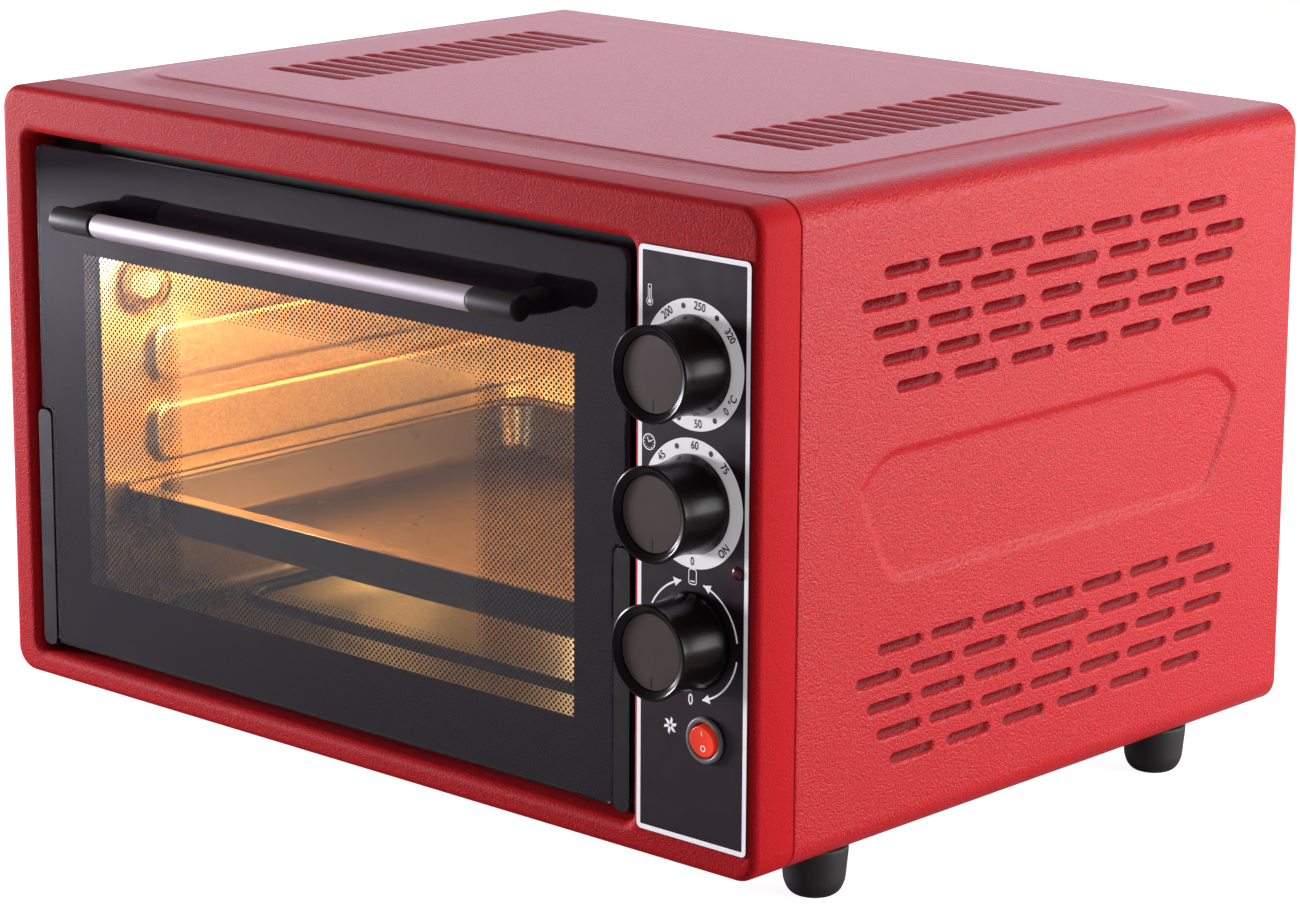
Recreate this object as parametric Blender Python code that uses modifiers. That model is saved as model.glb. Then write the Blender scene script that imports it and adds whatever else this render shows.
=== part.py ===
"""Countertop mini oven: a red sheet metal body on four feet, with a drop-down glazed door on the left,
three dials, a pilot light and a fan switch on the right, and an oven chamber with tray, heaters and fan.

Metres, +Z up. X runs along the front from left to right, Y from front to back. The origin lies on the
floor under the middle of the whole object."""

from math import cos, pi, radians, sin

import bmesh
import bpy
from mathutils import Matrix, Vector

MM = 0.001

# Body, measured over the painted sheet metal without the feet.
BODY_WIDTH = 520 * MM
BODY_DEPTH = 405 * MM
BODY_HEIGHT = 311 * MM
BODY_CORNER = 13 * MM
BEZEL_DEPTH = 27 * MM
FACE_ROUND = 4 * MM
SHEET = 1.0 * MM
LIP_WIDTH = 45 * MM
GAP = 0.3 * MM
OVERRUN = 2 * MM
WELD = 0.005 * MM
SETTLED_WELD = 0.02 * MM

# Raised panel pressed into the top, with its two rows of vents.
PANEL_RISE = 3 * MM
PANEL_DRAFT = 4 * MM
PANEL_SIDE_MARGIN = 35 * MM
PANEL_FRONT_MARGIN = 32 * MM
PANEL_REAR_MARGIN = 40 * MM
PANEL_CORNER = 28 * MM
TOP_SLOT_COUNT = 15
TOP_SLOT_PITCH = 13.45 * MM
TOP_SLOT_LENGTH = 57 * MM
TOP_SLOT_WIDTH = 6.2 * MM
TOP_SLOT_SIDE_MARGIN = 105 * MM

# Side walls: two groups of vents, and a sunk panel between them.
SIDE_SLOT_LENGTH = 31 * MM
SIDE_SLOT_WIDTH = 5 * MM
LONG_SLOT_LENGTH = 54 * MM
SIDE_SLOT_PITCH = 38.5 * MM
SIDE_ROW_PITCH = 13.6 * MM
SIDE_GROUP_MARGIN = 67 * MM
ROW_PLACE_SHARES = (
    (0, 1, 2, 3),
    (0, 1.37, 2.39, 3.40),
    (0, 1.135, 2.17, 3.19),
    (0, 1, 2, 3),
    (0.55, 1.65, 2.74),
)
LONG_SLOT_ROW = 1
SUNK_DEPTH = 1.8 * MM
SUNK_DRAFT = 5 * MM
SUNK_HEIGHT = 61 * MM
SUNK_END_MARGIN = 43.5 * MM
SUNK_OUTLINE_SHARES = ((0.756, 0), (0.82, 0.02), (0.88, 0.148), (1.0, 0.74), (0.985, 0.80), (0.873, 1.0))

# Opening in the front bezel for the door, with a rolled edge and a wall that returns to the chamber.
OPENING_LEFT = 18 * MM
OPENING_LOW = 12.8 * MM
OPENING_TOP_MARGIN = 23.6 * MM
CONTROL_WIDTH = 76.6 * MM
OPENING_CORNER = 6 * MM
OPENING_ROLL = 3 * MM

# Oven chamber.
FLANGE_DEPTH = 21 * MM
FLANGE_LAP = 8 * MM
CHAMBER_SIDE_MARGIN = 34.7 * MM
CHAMBER_LEVEL_MARGIN = 18.3 * MM
CHAMBER_REAR_MARGIN = 40 * MM
CHAMBER_CORNER = 8 * MM
RIB_COUNT = 3
RIB_HEIGHT = 34 * MM
RIB_PITCH = 42 * MM
RIB_FIRST_LOW = 37 * MM
RIB_RISE = 6 * MM
RIB_DRAFT = 1.5 * MM
RIB_CORNER = 12 * MM
RIB_FRONT_MARGIN = 28 * MM
RIB_REAR_MARGIN = 15 * MM
BACK_PRESS_MARGIN = 25 * MM
BACK_PRESS_RISE = 3 * MM
BACK_PRESS_DRAFT = 3 * MM
BACK_PRESS_CORNER = 20 * MM

# Rear panel, base plate and the screws under the body.
REAR_INSET = 6 * MM
REAR_SKIRT = 12 * MM
REAR_SLOT_LENGTH = 60 * MM
REAR_SLOT_WIDTH = 5 * MM
REAR_SLOT_PITCH = 12 * MM
REAR_SLOT_COUNT = 6
REAR_SLOT_OFFSET = 110 * MM
REAR_SLOT_RISE = 80 * MM
BASE_LAP = 18 * MM
BASE_SLOT_LENGTH = 50 * MM
BASE_SLOT_WIDTH = 6 * MM
BASE_SLOT_PITCH = 16 * MM
BASE_SLOT_COUNT = 5
BASE_SLOT_OFFSET = 90 * MM
SCREW_HEAD_RADIUS = 3.5 * MM
SCREW_HEAD_HEIGHT = 1.8 * MM
SCREW_RADIUS = 1.5 * MM
SCREW_LENGTH = 5 * MM

# Feet.
FOOT_HEIGHT = 25 * MM
FOOT_RADIUS = 16 * MM
FOOT_FLANGE = 3 * MM
FOOT_TAPER = 1.5 * MM
FOOT_ROUND = 7 * MM
FOOT_SIDE_INSET = 24.5 * MM
FOOT_END_INSET = 70 * MM

# Door leaf: outer glass, steel frame behind it, inner glass.
DOOR_SIDE_CLEARANCE = 6 * MM
DOOR_LOW_CLEARANCE = 6 * MM
DOOR_TOP_CLEARANCE = 5.4 * MM
DOOR_SUNK = 2 * MM
DOOR_GLASS = 4 * MM
DOOR_GLASS_CORNER = 5 * MM
WINDOW_SIDE_MARGIN = 34 * MM
WINDOW_LOW_MARGIN = 36.5 * MM
WINDOW_TOP_MARGIN = 53.2 * MM
FRAME_LOW_MARGIN = 6.7 * MM
FRAME_TOP_MARGIN = 6 * MM
FRAME_REAR_CLEARANCE = 1 * MM
FRAME_CORNER = 6 * MM
FRAME_WINDOW_MARGIN = 4 * MM
FRAME_WINDOW_CORNER = 10 * MM
INNER_GLASS = 3 * MM
INNER_GLASS_LAP = 8 * MM

# Hinges: arm at each lower corner of the door, turning on a pin held by a bracket in the bezel.
HINGE_DEPTH = 8 * MM
HINGE_RISE = 8.7 * MM
ARM_WIDTH = 10 * MM
ARM_OVERHANG = 3 * MM
ARM_GLASS_CLEARANCE = 1 * MM
ARM_HEIGHT = 126 * MM
ARM_DROP = 1.8 * MM
ARM_THICKNESS = 6 * MM
ARM_CORNER = 3.5 * MM
KNUCKLE_RADIUS = 6 * MM
KNUCKLE_HEIGHT = 24 * MM
PIN_RADIUS = 2.5 * MM
PIN_HEAD_RADIUS = 4.5 * MM
PIN_HEAD_HEIGHT = 2 * MM
BRACKET_SHEET = 2 * MM
BRACKET_DEPTH = 16 * MM
BRACKET_LOW = 5 * MM
BRACKET_HEIGHT = 40 * MM
BRACKET_CORNER = 4 * MM

# Door handle.
HANDLE_RADIUS = 6 * MM
HANDLE_END_LENGTH = 31 * MM
HANDLE_SIDE_MARGIN = 49.7 * MM
HANDLE_REACH = 22.2 * MM
HANDLE_DROP = 30.2 * MM
HANDLE_WALL = 1.2 * MM
HANDLE_END_RADIUS = 6.5 * MM
HANDLE_END_ROUND = 1.5 * MM
POST_WIDTH = 14 * MM
POST_HEIGHT = 12 * MM
POST_CORNER = 5 * MM
HANDLE_SCREW_RADIUS = 2 * MM
HANDLE_SCREW_HEAD_RADIUS = 4.5 * MM
HANDLE_SCREW_HEAD_HEIGHT = 2.5 * MM
HANDLE_SCREW_BITE = 10 * MM
HANDLE_SCREW_LAND = 5.7 * MM

# Control label on the bezel.
LABEL_THICKNESS = 0.5 * MM
LABEL_LEFT_MARGIN = 4.2 * MM
LABEL_RIGHT_MARGIN = 4.8 * MM
LABEL_LOW_MARGIN = 13.1 * MM
LABEL_TOP_MARGIN = 24 * MM
LABEL_CORNER = 3 * MM

# Dials. Heights are measured from the bezel's front face, towards the user.
KNOB_REACH = 30.5 * MM
KNOB_TOP_MARGIN = 75 * MM
KNOB_PITCH = 63.5 * MM
KNOB_LIFT = 1.5 * MM
KNOB_RIM_RADIUS = 22.3 * MM
KNOB_WAIST_RADIUS = 21 * MM
KNOB_BASE_RADIUS = 23 * MM
KNOB_WALL = 2 * MM
KNOB_ROUND = 1 * MM
KNOB_CONE_RADIUS = 20.5 * MM
KNOB_CONE_DEPTH = 2 * MM
KNOB_ROOF = 4.2 * MM
BOSS_RADIUS = 6 * MM
CAP_RADIUS = 17.75 * MM
CAP_THICKNESS = 1.5 * MM
CAP_SUNK = 0.5 * MM
SHAFT_RADIUS = 3 * MM
SHAFT_KNOB_BITE = 14 * MM
SHAFT_BODY_BITE = 10 * MM
SHAFT_HOLE_RADIUS = 5 * MM
THERMOSTAT_SIZE = 44 * MM
THERMOSTAT_DEPTH = 24 * MM
TIMER_SIZE = 48 * MM
TIMER_DEPTH = 36 * MM
SELECTOR_SIZE = 38 * MM
SELECTOR_DEPTH = 22 * MM
CONTROL_ROUND = 2 * MM

# Pilot light.
PILOT_RADIUS = 3 * MM
PILOT_REACH = 2.2 * MM
PILOT_COLLAR_RADIUS = 4.5 * MM
PILOT_COLLAR = 1.5 * MM
PILOT_DEPTH = 14 * MM
PILOT_SIDE_OFFSET = 27.2 * MM
PILOT_RISE = 36.1 * MM

# Fan switch: round rocker in a ring.
SWITCH_RING_RADIUS = 11 * MM
SWITCH_RING = 1.9 * MM
SWITCH_RADIUS = 9.6 * MM
SWITCH_WALL = 1.2 * MM
SWITCH_DEPTH = 16 * MM
SWITCH_SIDE_OFFSET = 9.2 * MM
SWITCH_DROP = 45 * MM
ROCKER_RADIUS = 7.5 * MM
ROCKER_FRONT = 3 * MM
ROCKER_BACK = 2 * MM
ROCKER_DISH = 0.8 * MM
ROCKER_ROUND = 0.5 * MM
ROCKER_LIFT = 1 * MM
ROCKER_POCKET = 3.8 * MM
ROCKER_TILT = radians(8)
TRUNNION_RADIUS = 1.2 * MM

# Heaters.
HEATER_RADIUS = 3.25 * MM
HEATER_LOW_RISE = 12 * MM
HEATER_TOP_DROP = 15 * MM
HEATER_FRONT_MARGIN = 48 * MM
HEATER_REAR_MARGIN = 65 * MM
HEATER_SIDE_MARGIN = 42 * MM
HEATER_BEND = 25 * MM
HEATER_TAIL = 18 * MM

# Baking tray, hanging on the lowest ribs.
TRAY_SIDE_PLAY = 1.2 * MM
TRAY_FRONT_CLEARANCE = 7 * MM
TRAY_REAR_CLEARANCE = 37 * MM
TRAY_DEPTH = 27 * MM
TRAY_SHEET = 0.8 * MM
TRAY_RIM_CORNER = 16 * MM
TRAY_BODY_CLEARANCE = 4 * MM
TRAY_END_RIM = 12 * MM
TRAY_DRAFT = 7 * MM
TRAY_BODY_CORNER = 12 * MM

# Fan at the back of the chamber.
COVER_RADIUS = 72 * MM
COVER_LIP = 5 * MM
COVER_DEPTH = 18 * MM
COVER_SHEET = 1.2 * MM
COVER_ROUND = 3 * MM
COVER_SLOT_COUNT = 12
COVER_SLOT_LENGTH = 32 * MM
COVER_SLOT_WIDTH = 6 * MM
COVER_SLOT_RADIUS = 44 * MM
FAN_RADIUS = 52 * MM
FAN_DISC = 1.2 * MM
FAN_STAND_OFF = 4 * MM
BLADE_COUNT = 8
BLADE_HEIGHT = 6 * MM
BLADE_THICKNESS = 1.2 * MM
BLADE_INNER_RADIUS = 20 * MM
HUB_RADIUS = 7 * MM
HUB_HEIGHT = 8.5 * MM
FAN_SHAFT_RADIUS = 2 * MM
FAN_SHAFT_HUB_BITE = 6.5 * MM
FAN_SHAFT_MOTOR_BITE = 16 * MM
FAN_HOLE_RADIUS = 5 * MM
MOTOR_RADIUS = 28 * MM
MOTOR_DEPTH = 27 * MM
MOTOR_ROUND = 3 * MM

# Lamp in the left wall.
LAMP_FRONT_MARGIN = 26 * MM
LAMP_TOP_DROP = 62 * MM
LENS_RADIUS = 14 * MM
LENS_LIP = 3 * MM
LENS_DEPTH = 16 * MM
LENS_GLASS = 1.6 * MM
BULB_RADIUS = 6.8 * MM
BULB_REACH = 11 * MM
BULB_BASE_RADIUS = 5 * MM
BULB_BASE_DEPTH = 14 * MM
LAMP_HOLE_RADIUS = 8 * MM
HOLDER_RADIUS = 13 * MM
HOLDER_FLANGE_RADIUS = 18 * MM
HOLDER_FLANGE = 2 * MM
HOLDER_DEPTH = 34 * MM

# Thermostat sensor, its thin pipe led through the right wall to the thermostat.
SENSOR_RADIUS = 2.5 * MM
SENSOR_PIPE_RADIUS = 0.9 * MM
SENSOR_WALL_DISTANCE = 8 * MM
SENSOR_TOP_DROP = 38 * MM
SENSOR_FRONT_MARGIN = 98 * MM
SENSOR_LENGTH = 70 * MM
SENSOR_NECK = 8 * MM
SENSOR_TURN = 7 * MM
SENSOR_HOLE_RADIUS = 1.4 * MM
SENSOR_PIPE_RUN = 65 * MM

# Gland where the mains lead would leave the rear panel.
GLAND_SIDE_MARGIN = 70 * MM
GLAND_RISE = 42 * MM
GLAND_FLANGE_RADIUS = 11 * MM
GLAND_FLANGE = 5 * MM
GLAND_NECK_RADIUS = 7 * MM
GLAND_COLLAR_RADIUS = 9.5 * MM
GLAND_COLLAR = 4 * MM
GLAND_BORE_RADIUS = 4 * MM

# Planes and places that follow from the sizes above.
HALF_WIDTH = BODY_WIDTH / 2
FACE_Y = (KNOB_REACH - BODY_DEPTH) / 2
REAR_Y = FACE_Y + BODY_DEPTH
SEAM_Y = FACE_Y + BEZEL_DEPTH
BASE_Z = FOOT_HEIGHT
RIM_Z = BASE_Z + BODY_HEIGHT
MID_Z = (BASE_Z + RIM_Z) / 2
CASE_MID_Y = (SEAM_Y + REAR_Y) / 2
PANEL_MID_Y = (SEAM_Y + PANEL_FRONT_MARGIN + REAR_Y - PANEL_REAR_MARGIN) / 2

TOP_SLOT_OFFSET = HALF_WIDTH - TOP_SLOT_SIDE_MARGIN
SIDE_GROUP_OFFSET = BODY_HEIGHT / 2 - SIDE_GROUP_MARGIN

OPENING_X = (OPENING_LEFT - HALF_WIDTH, HALF_WIDTH - CONTROL_WIDTH)
OPENING_Z = (BASE_Z + OPENING_LOW, RIM_Z - OPENING_TOP_MARGIN)
DOOR_MID_X = sum(OPENING_X) / 2
OPENING_MID_Z = sum(OPENING_Z) / 2

FLANGE_Y = FACE_Y + FLANGE_DEPTH
CHAMBER_X = (OPENING_X[0] + CHAMBER_SIDE_MARGIN, OPENING_X[1] - CHAMBER_SIDE_MARGIN)
CHAMBER_Z = (OPENING_Z[0] + CHAMBER_LEVEL_MARGIN, OPENING_Z[1] - CHAMBER_LEVEL_MARGIN)
CHAMBER_WIDTH = CHAMBER_X[1] - CHAMBER_X[0]
CHAMBER_FRONT_Y = FLANGE_Y + SHEET
CHAMBER_REAR_Y = REAR_Y - CHAMBER_REAR_MARGIN
PRESS_Y = CHAMBER_REAR_Y - BACK_PRESS_RISE
RIB_TOP_Z = CHAMBER_Z[0] + RIB_FIRST_LOW + RIB_HEIGHT

GLASS_X = (OPENING_X[0] + DOOR_SIDE_CLEARANCE, OPENING_X[1] - DOOR_SIDE_CLEARANCE)
GLASS_Z = (OPENING_Z[0] + DOOR_LOW_CLEARANCE, OPENING_Z[1] - DOOR_TOP_CLEARANCE)
GLASS_Y = (FACE_Y + DOOR_SUNK, FACE_Y + DOOR_SUNK + DOOR_GLASS)
WINDOW_X = (GLASS_X[0] + WINDOW_SIDE_MARGIN, GLASS_X[1] - WINDOW_SIDE_MARGIN)
WINDOW_Z = (GLASS_Z[0] + WINDOW_LOW_MARGIN, GLASS_Z[1] - WINDOW_TOP_MARGIN)
ARM_OUTER = GLASS_X[0] - ARM_OVERHANG
ARM_INNER = ARM_OUTER + ARM_WIDTH
NOTCH_WIDTH = ARM_INNER + ARM_GLASS_CLEARANCE - GLASS_X[0]
ARM_Z = (GLASS_Z[0] - ARM_DROP, GLASS_Z[0] - ARM_DROP + ARM_HEIGHT)
FRAME_X = (ARM_INNER + GAP, 2 * DOOR_MID_X - ARM_INNER - GAP)
FRAME_Z = (GLASS_Z[0] + FRAME_LOW_MARGIN, GLASS_Z[1] - FRAME_TOP_MARGIN)
FRAME_Y = (GLASS_Y[1] + GAP, FLANGE_Y - FRAME_REAR_CLEARANCE)
HINGE_Y = FACE_Y + HINGE_DEPTH
HINGE_Z = OPENING_Z[0] + HINGE_RISE
HANDLE_Y = GLASS_Y[0] - HANDLE_REACH
HANDLE_Z = GLASS_Z[1] - HANDLE_DROP
HANDLE_SPAN = OPENING_X[1] - OPENING_X[0] - 2 * HANDLE_SIDE_MARGIN
HANDLE_TUBE_LENGTH = HANDLE_SPAN - 2 * HANDLE_END_LENGTH
POST_OFFSET = (HANDLE_SPAN - POST_WIDTH) / 2

LABEL_X = (OPENING_X[1] + LABEL_LEFT_MARGIN, HALF_WIDTH - LABEL_RIGHT_MARGIN)
LABEL_Z = (BASE_Z + LABEL_LOW_MARGIN, RIM_Z - LABEL_TOP_MARGIN)
LABEL_FRONT = GAP + LABEL_THICKNESS
DIAL_X = sum(LABEL_X) / 2
THERMOSTAT_Z = RIM_Z - KNOB_TOP_MARGIN
TIMER_Z = THERMOSTAT_Z - KNOB_PITCH
SELECTOR_Z = TIMER_Z - KNOB_PITCH
PILOT_X, PILOT_Z = DIAL_X + PILOT_SIDE_OFFSET, SELECTOR_Z + PILOT_RISE
SWITCH_X, SWITCH_Z = DIAL_X + SWITCH_SIDE_OFFSET, SELECTOR_Z - SWITCH_DROP
BEHIND_FACE = SHEET + GAP

TRAY_RIM_Z = RIB_TOP_Z + GAP
TRAY_Y = (FLANGE_Y + TRAY_FRONT_CLEARANCE, CHAMBER_REAR_Y - TRAY_REAR_CLEARANCE)
REAR_FACE_Y = REAR_Y - REAR_INSET
SKIRT_Y = REAR_FACE_Y - REAR_SKIRT
SKIRT_Z = BASE_Z + SHEET + GAP
SCREW_X = HALF_WIDTH - LIP_WIDTH / 2
SCREW_PLACES = {
    "base_screw_front_left": (-SCREW_X, SEAM_Y - BASE_LAP + 2 * SCREW_HEAD_RADIUS),
    "base_screw_front_right": (SCREW_X, SEAM_Y - BASE_LAP + 2 * SCREW_HEAD_RADIUS),
    "base_screw_rear_left": (-SCREW_X, SKIRT_Y + REAR_SKIRT / 2),
    "base_screw_rear_right": (SCREW_X, SKIRT_Y + REAR_SKIRT / 2),
}

CORNER_STEPS = 4
SMALL_STEPS = 2
SLOT_STEPS = 3
ROUND_STEPS = 18
SMALL_ROUND_STEPS = 12

FRONT, BACK, RIGHT, LEFT, UP, DOWN = (
    (pi / 2, 0, 0),
    (-pi / 2, 0, 0),
    (0, pi / 2, 0),
    (0, -pi / 2, 0),
    (0, 0, 0),
    (pi, 0, 0),
)
# How a flat outline (u, v) and its thickness w stand in space for each axis that the thickness follows.
STANDING = {
    "X": Matrix(((0, 0, 1, 0), (1, 0, 0, 0), (0, 1, 0, 0), (0, 0, 0, 1))),
    "Y": Matrix(((1, 0, 0, 0), (0, 0, -1, 0), (0, 1, 0, 0), (0, 0, 0, 1))),
    "Z": Matrix.Identity(4),
}
AXIS = {"X": Vector((1, 0, 0)), "Y": Vector((0, 1, 0)), "Z": Vector((0, 0, 1))}

for old in list(bpy.data.objects):
    bpy.data.objects.remove(old, do_unlink=True)
scene_root = bpy.context.scene.collection
oven = bpy.data.collections.new("mini_oven")
cutters = bpy.data.collections.new("cutters")
scene_root.children.link(oven)
scene_root.children.link(cutters)
cutters.hide_render = True


def paint(name, colour, roughness, metallic=0.0, alpha=1.0):
    """Material of one kind of piece."""
    material = bpy.data.materials.new(name)
    material.use_nodes = True
    shader = material.node_tree.nodes["Principled BSDF"]
    shader.inputs["Base Color"].default_value = (*colour, 1.0)
    shader.inputs["Roughness"].default_value = roughness
    shader.inputs["Metallic"].default_value = metallic
    shader.inputs["Alpha"].default_value = alpha
    material.diffuse_color = (*colour, alpha)
    return material


RED_COAT = paint("red_wrinkle_paint", (0.56, 0.03, 0.05), 0.55)
BLACK_GLASS = paint("black_printed_glass", (0.02, 0.016, 0.02), 0.12, 0.0, 0.85)
CLEAR_GLASS = paint("clear_glass", (0.75, 0.8, 0.8), 0.05, 0.0, 0.3)
GALVANISED = paint("galvanised_steel", (0.5, 0.47, 0.42), 0.4, 1.0)
BLACK_STEEL = paint("black_steel", (0.02, 0.02, 0.02), 0.45, 0.6)
ENAMEL = paint("dark_enamel", (0.03, 0.028, 0.03), 0.3)
ALUMINIUM = paint("satin_aluminium", (0.75, 0.72, 0.73), 0.35, 1.0)
BLACK_PLASTIC = paint("black_plastic", (0.012, 0.01, 0.01), 0.3)
KNOB_GLOSS = paint("glossy_black_plastic", (0.012, 0.008, 0.01), 0.12)
CAP_BROWN = paint("brown_grey_disc", (0.09, 0.08, 0.075), 0.4)
LABEL_BLACK = paint("black_label_film", (0.035, 0.03, 0.035), 0.35)
RUBBER = paint("black_rubber", (0.015, 0.015, 0.015), 0.8)
STEEL = paint("zinc_plated_steel", (0.6, 0.6, 0.58), 0.35, 1.0)
HEATER_STEEL = paint("dark_heater_steel", (0.08, 0.075, 0.07), 0.5, 0.8)
RED_LENS = paint("red_lens", (0.5, 0.01, 0.01), 0.15)
ROCKER_RED = paint("orange_red_plastic", (0.9, 0.06, 0.02), 0.3)
GREY_PLASTIC = paint("grey_plastic", (0.12, 0.12, 0.12), 0.45)
CERAMIC = paint("white_ceramic", (0.8, 0.78, 0.72), 0.5)


def rounded(low, high, radius, steps):
    """Outline of a rectangle with rounded corners, anticlockwise."""
    centres = (
        (high[0] - radius, high[1] - radius),
        (low[0] + radius, high[1] - radius),
        (low[0] + radius, low[1] + radius),
        (high[0] - radius, low[1] + radius),
    )
    return [
        (centre[0] + radius * cos(pi / 2 * (quarter + i / steps)), centre[1] + radius * sin(pi / 2 * (quarter + i / steps)))
        for quarter, centre in enumerate(centres)
        for i in range(steps + 1)
    ]


def grown(x_range, z_range, growth, corner, steps=SMALL_STEPS):
    """Rounded rectangle over two ranges, grown outwards on every side."""
    low = (x_range[0] - growth, z_range[0] - growth)
    high = (x_range[1] + growth, z_range[1] + growth)
    return rounded(low, high, corner + growth, steps)


def slot(centre, length, width, turn=0.0):
    """Outline of a slot with round ends, turned about its own centre."""
    reach, radius = (length - width) / 2, width / 2
    points = []
    for end in (0, 1):
        for i in range(SLOT_STEPS + 1):
            angle = pi * end - pi / 2 + pi * i / SLOT_STEPS
            u = reach * (1 - 2 * end) + radius * cos(angle)
            v = radius * sin(angle)
            points.append((centre[0] + u * cos(turn) - v * sin(turn), centre[1] + u * sin(turn) + v * cos(turn)))
    return points


def circle(centre, radius, steps=SMALL_ROUND_STEPS):
    return [(centre[0] + radius * cos(2 * pi * i / steps), centre[1] + radius * sin(2 * pi * i / steps)) for i in range(steps)]


def add_mesh(name, bm):
    """Closes a bmesh into a named object of the oven, its faces pointing out."""
    bmesh.ops.remove_doubles(bm, verts=bm.verts, dist=WELD)
    bmesh.ops.recalc_face_normals(bm, faces=bm.faces)
    mesh = bpy.data.meshes.new(name)
    bm.to_mesh(mesh)
    bm.free()
    obj = bpy.data.objects.new(name, mesh)
    oven.objects.link(obj)
    return obj


def from_curve(name, curve, place):
    """Turns a curve into a mesh object and welds its caps."""
    guide = bpy.data.objects.new(name, curve)
    oven.objects.link(guide)
    mesh = bpy.data.meshes.new_from_object(guide.evaluated_get(bpy.context.evaluated_depsgraph_get()))
    bpy.data.objects.remove(guide, do_unlink=True)
    bm = bmesh.new()
    bm.from_mesh(mesh)
    bpy.data.meshes.remove(mesh)
    bm.transform(place)
    return add_mesh(name, bm)


def slab(name, loops, axis, low, high):
    """Flat outlines given a thickness along one axis, from low to high."""
    curve = bpy.data.curves.new(name, "CURVE")
    curve.dimensions = "2D"
    curve.fill_mode = "BOTH"
    curve.extrude = (high - low) / 2
    for loop in loops:
        spline = curve.splines.new("POLY")
        spline.points.add(len(loop) - 1)
        for point, (u, v) in zip(spline.points, loop):
            point.co = (u, v, 0, 1)
        spline.use_cyclic_u = True
    return from_curve(name, curve, Matrix.Translation(AXIS[axis] * (low + high) / 2) @ STANDING[axis])


def tube(name, points, radius, resolution=2, radii=None):
    """Round bar along a run of points."""
    curve = bpy.data.curves.new(name, "CURVE")
    curve.dimensions = "3D"
    curve.bevel_depth = radius
    curve.bevel_resolution = resolution
    curve.use_fill_caps = True
    spline = curve.splines.new("POLY")
    spline.points.add(len(points) - 1)
    for i, (point, place) in enumerate(zip(spline.points, points)):
        point.co = (*place, 1)
        point.radius = radii[i] / radius if radii else 1
    return from_curve(name, curve, Matrix.Identity(4))


def block(name, low, high, edge=0.0, segments=2):
    """Box between two corners, its edges rounded if asked."""
    low, high = Vector(low), Vector(high)
    bm = bmesh.new()
    bmesh.ops.create_cube(bm, size=1)
    bmesh.ops.transform(bm, matrix=Matrix.Translation((low + high) / 2) @ Matrix.Diagonal((*(high - low), 1)), verts=bm.verts)
    if edge:
        bmesh.ops.bevel(bm, geom=bm.edges[:], offset=edge, segments=segments, profile=0.5, affect="EDGES")
    return add_mesh(name, bm)


def turned(name, profile, place, facing, steps=ROUND_STEPS, closed=False):
    """Profile of (radius, height) turned about an axis that starts at place and looks the way of facing."""
    mesh = bpy.data.meshes.new(name)
    edges = [(i, i + 1) for i in range(len(profile) - 1)]
    if closed:
        edges.append((len(profile) - 1, 0))
    mesh.from_pydata([(radius, 0, height) for radius, height in profile], edges, [])
    obj = bpy.data.objects.new(name, mesh)
    oven.objects.link(obj)
    obj.location = place
    obj.rotation_euler = facing
    screw = obj.modifiers.new("turn", "SCREW")
    screw.steps = screw.render_steps = steps
    screw.use_merge_vertices = True
    screw.merge_threshold = WELD
    return obj


def lofts(name, stacks):
    """Skins over stacks of rings, every ring of a stack with the same number of points, closed at both ends."""
    bm = bmesh.new()
    for rings in stacks:
        rows = [[bm.verts.new(point) for point in ring] for ring in rings]
        count = len(rows[0])
        for lower, upper in zip(rows, rows[1:]):
            for i in range(count):
                bm.faces.new((lower[i], lower[(i + 1) % count], upper[(i + 1) % count], upper[i]))
        bm.faces.new(rows[0][::-1])
        bm.faces.new(rows[-1])
    return add_mesh(name, bm)


def ring_x(outline, x):
    return [(x, u, v) for u, v in outline]


def ring_y(outline, y):
    return [(u, y, v) for u, v in outline]


def ring_z(outline, z):
    return [(u, v, z) for u, v in outline]


def combine(obj, tool, operation, solver="EXACT"):
    """Boolean with a tool that then stays hidden among the cutters."""
    modifier = obj.modifiers.new(tool.name, "BOOLEAN")
    modifier.operation = operation
    modifier.solver = solver
    modifier.object = tool
    oven.objects.unlink(tool)
    cutters.objects.link(tool)
    tool.hide_render = True
    tool.display_type = "WIRE"


def cut(obj, *tools, solver="EXACT"):
    for tool in tools:
        combine(obj, tool, "DIFFERENCE", solver)


def fuse(obj, *tools):
    for tool in tools:
        combine(obj, tool, "UNION")


def finish(obj, material, axis=None):
    """Settles the modifiers, shades the piece and hangs it on the empty of its joint."""
    mesh = bpy.data.meshes.new_from_object(obj.evaluated_get(bpy.context.evaluated_depsgraph_get()))
    bm = bmesh.new()
    bm.from_mesh(mesh)
    bmesh.ops.remove_doubles(bm, verts=bm.verts, dist=SETTLED_WELD)
    bmesh.ops.dissolve_degenerate(bm, edges=bm.edges, dist=WELD)
    bmesh.ops.delete(bm, geom=[edge for edge in bm.edges if not edge.link_faces], context="EDGES")
    bm.to_mesh(mesh)
    bm.free()
    obj.modifiers.clear()
    obj.data = mesh
    mesh.name = obj.name
    mesh.materials.clear()
    mesh.materials.append(material)
    mesh.shade_smooth()
    mesh.set_sharp_from_angle(angle=radians(30))
    if axis:
        obj.parent = axis
        obj.matrix_parent_inverse = Matrix.Translation(-axis.location)
    return obj


def axis_empty(name, place):
    empty = bpy.data.objects.new(name, None)
    empty.empty_display_size = FOOT_HEIGHT
    empty.location = place
    oven.objects.link(empty)
    return empty


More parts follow.
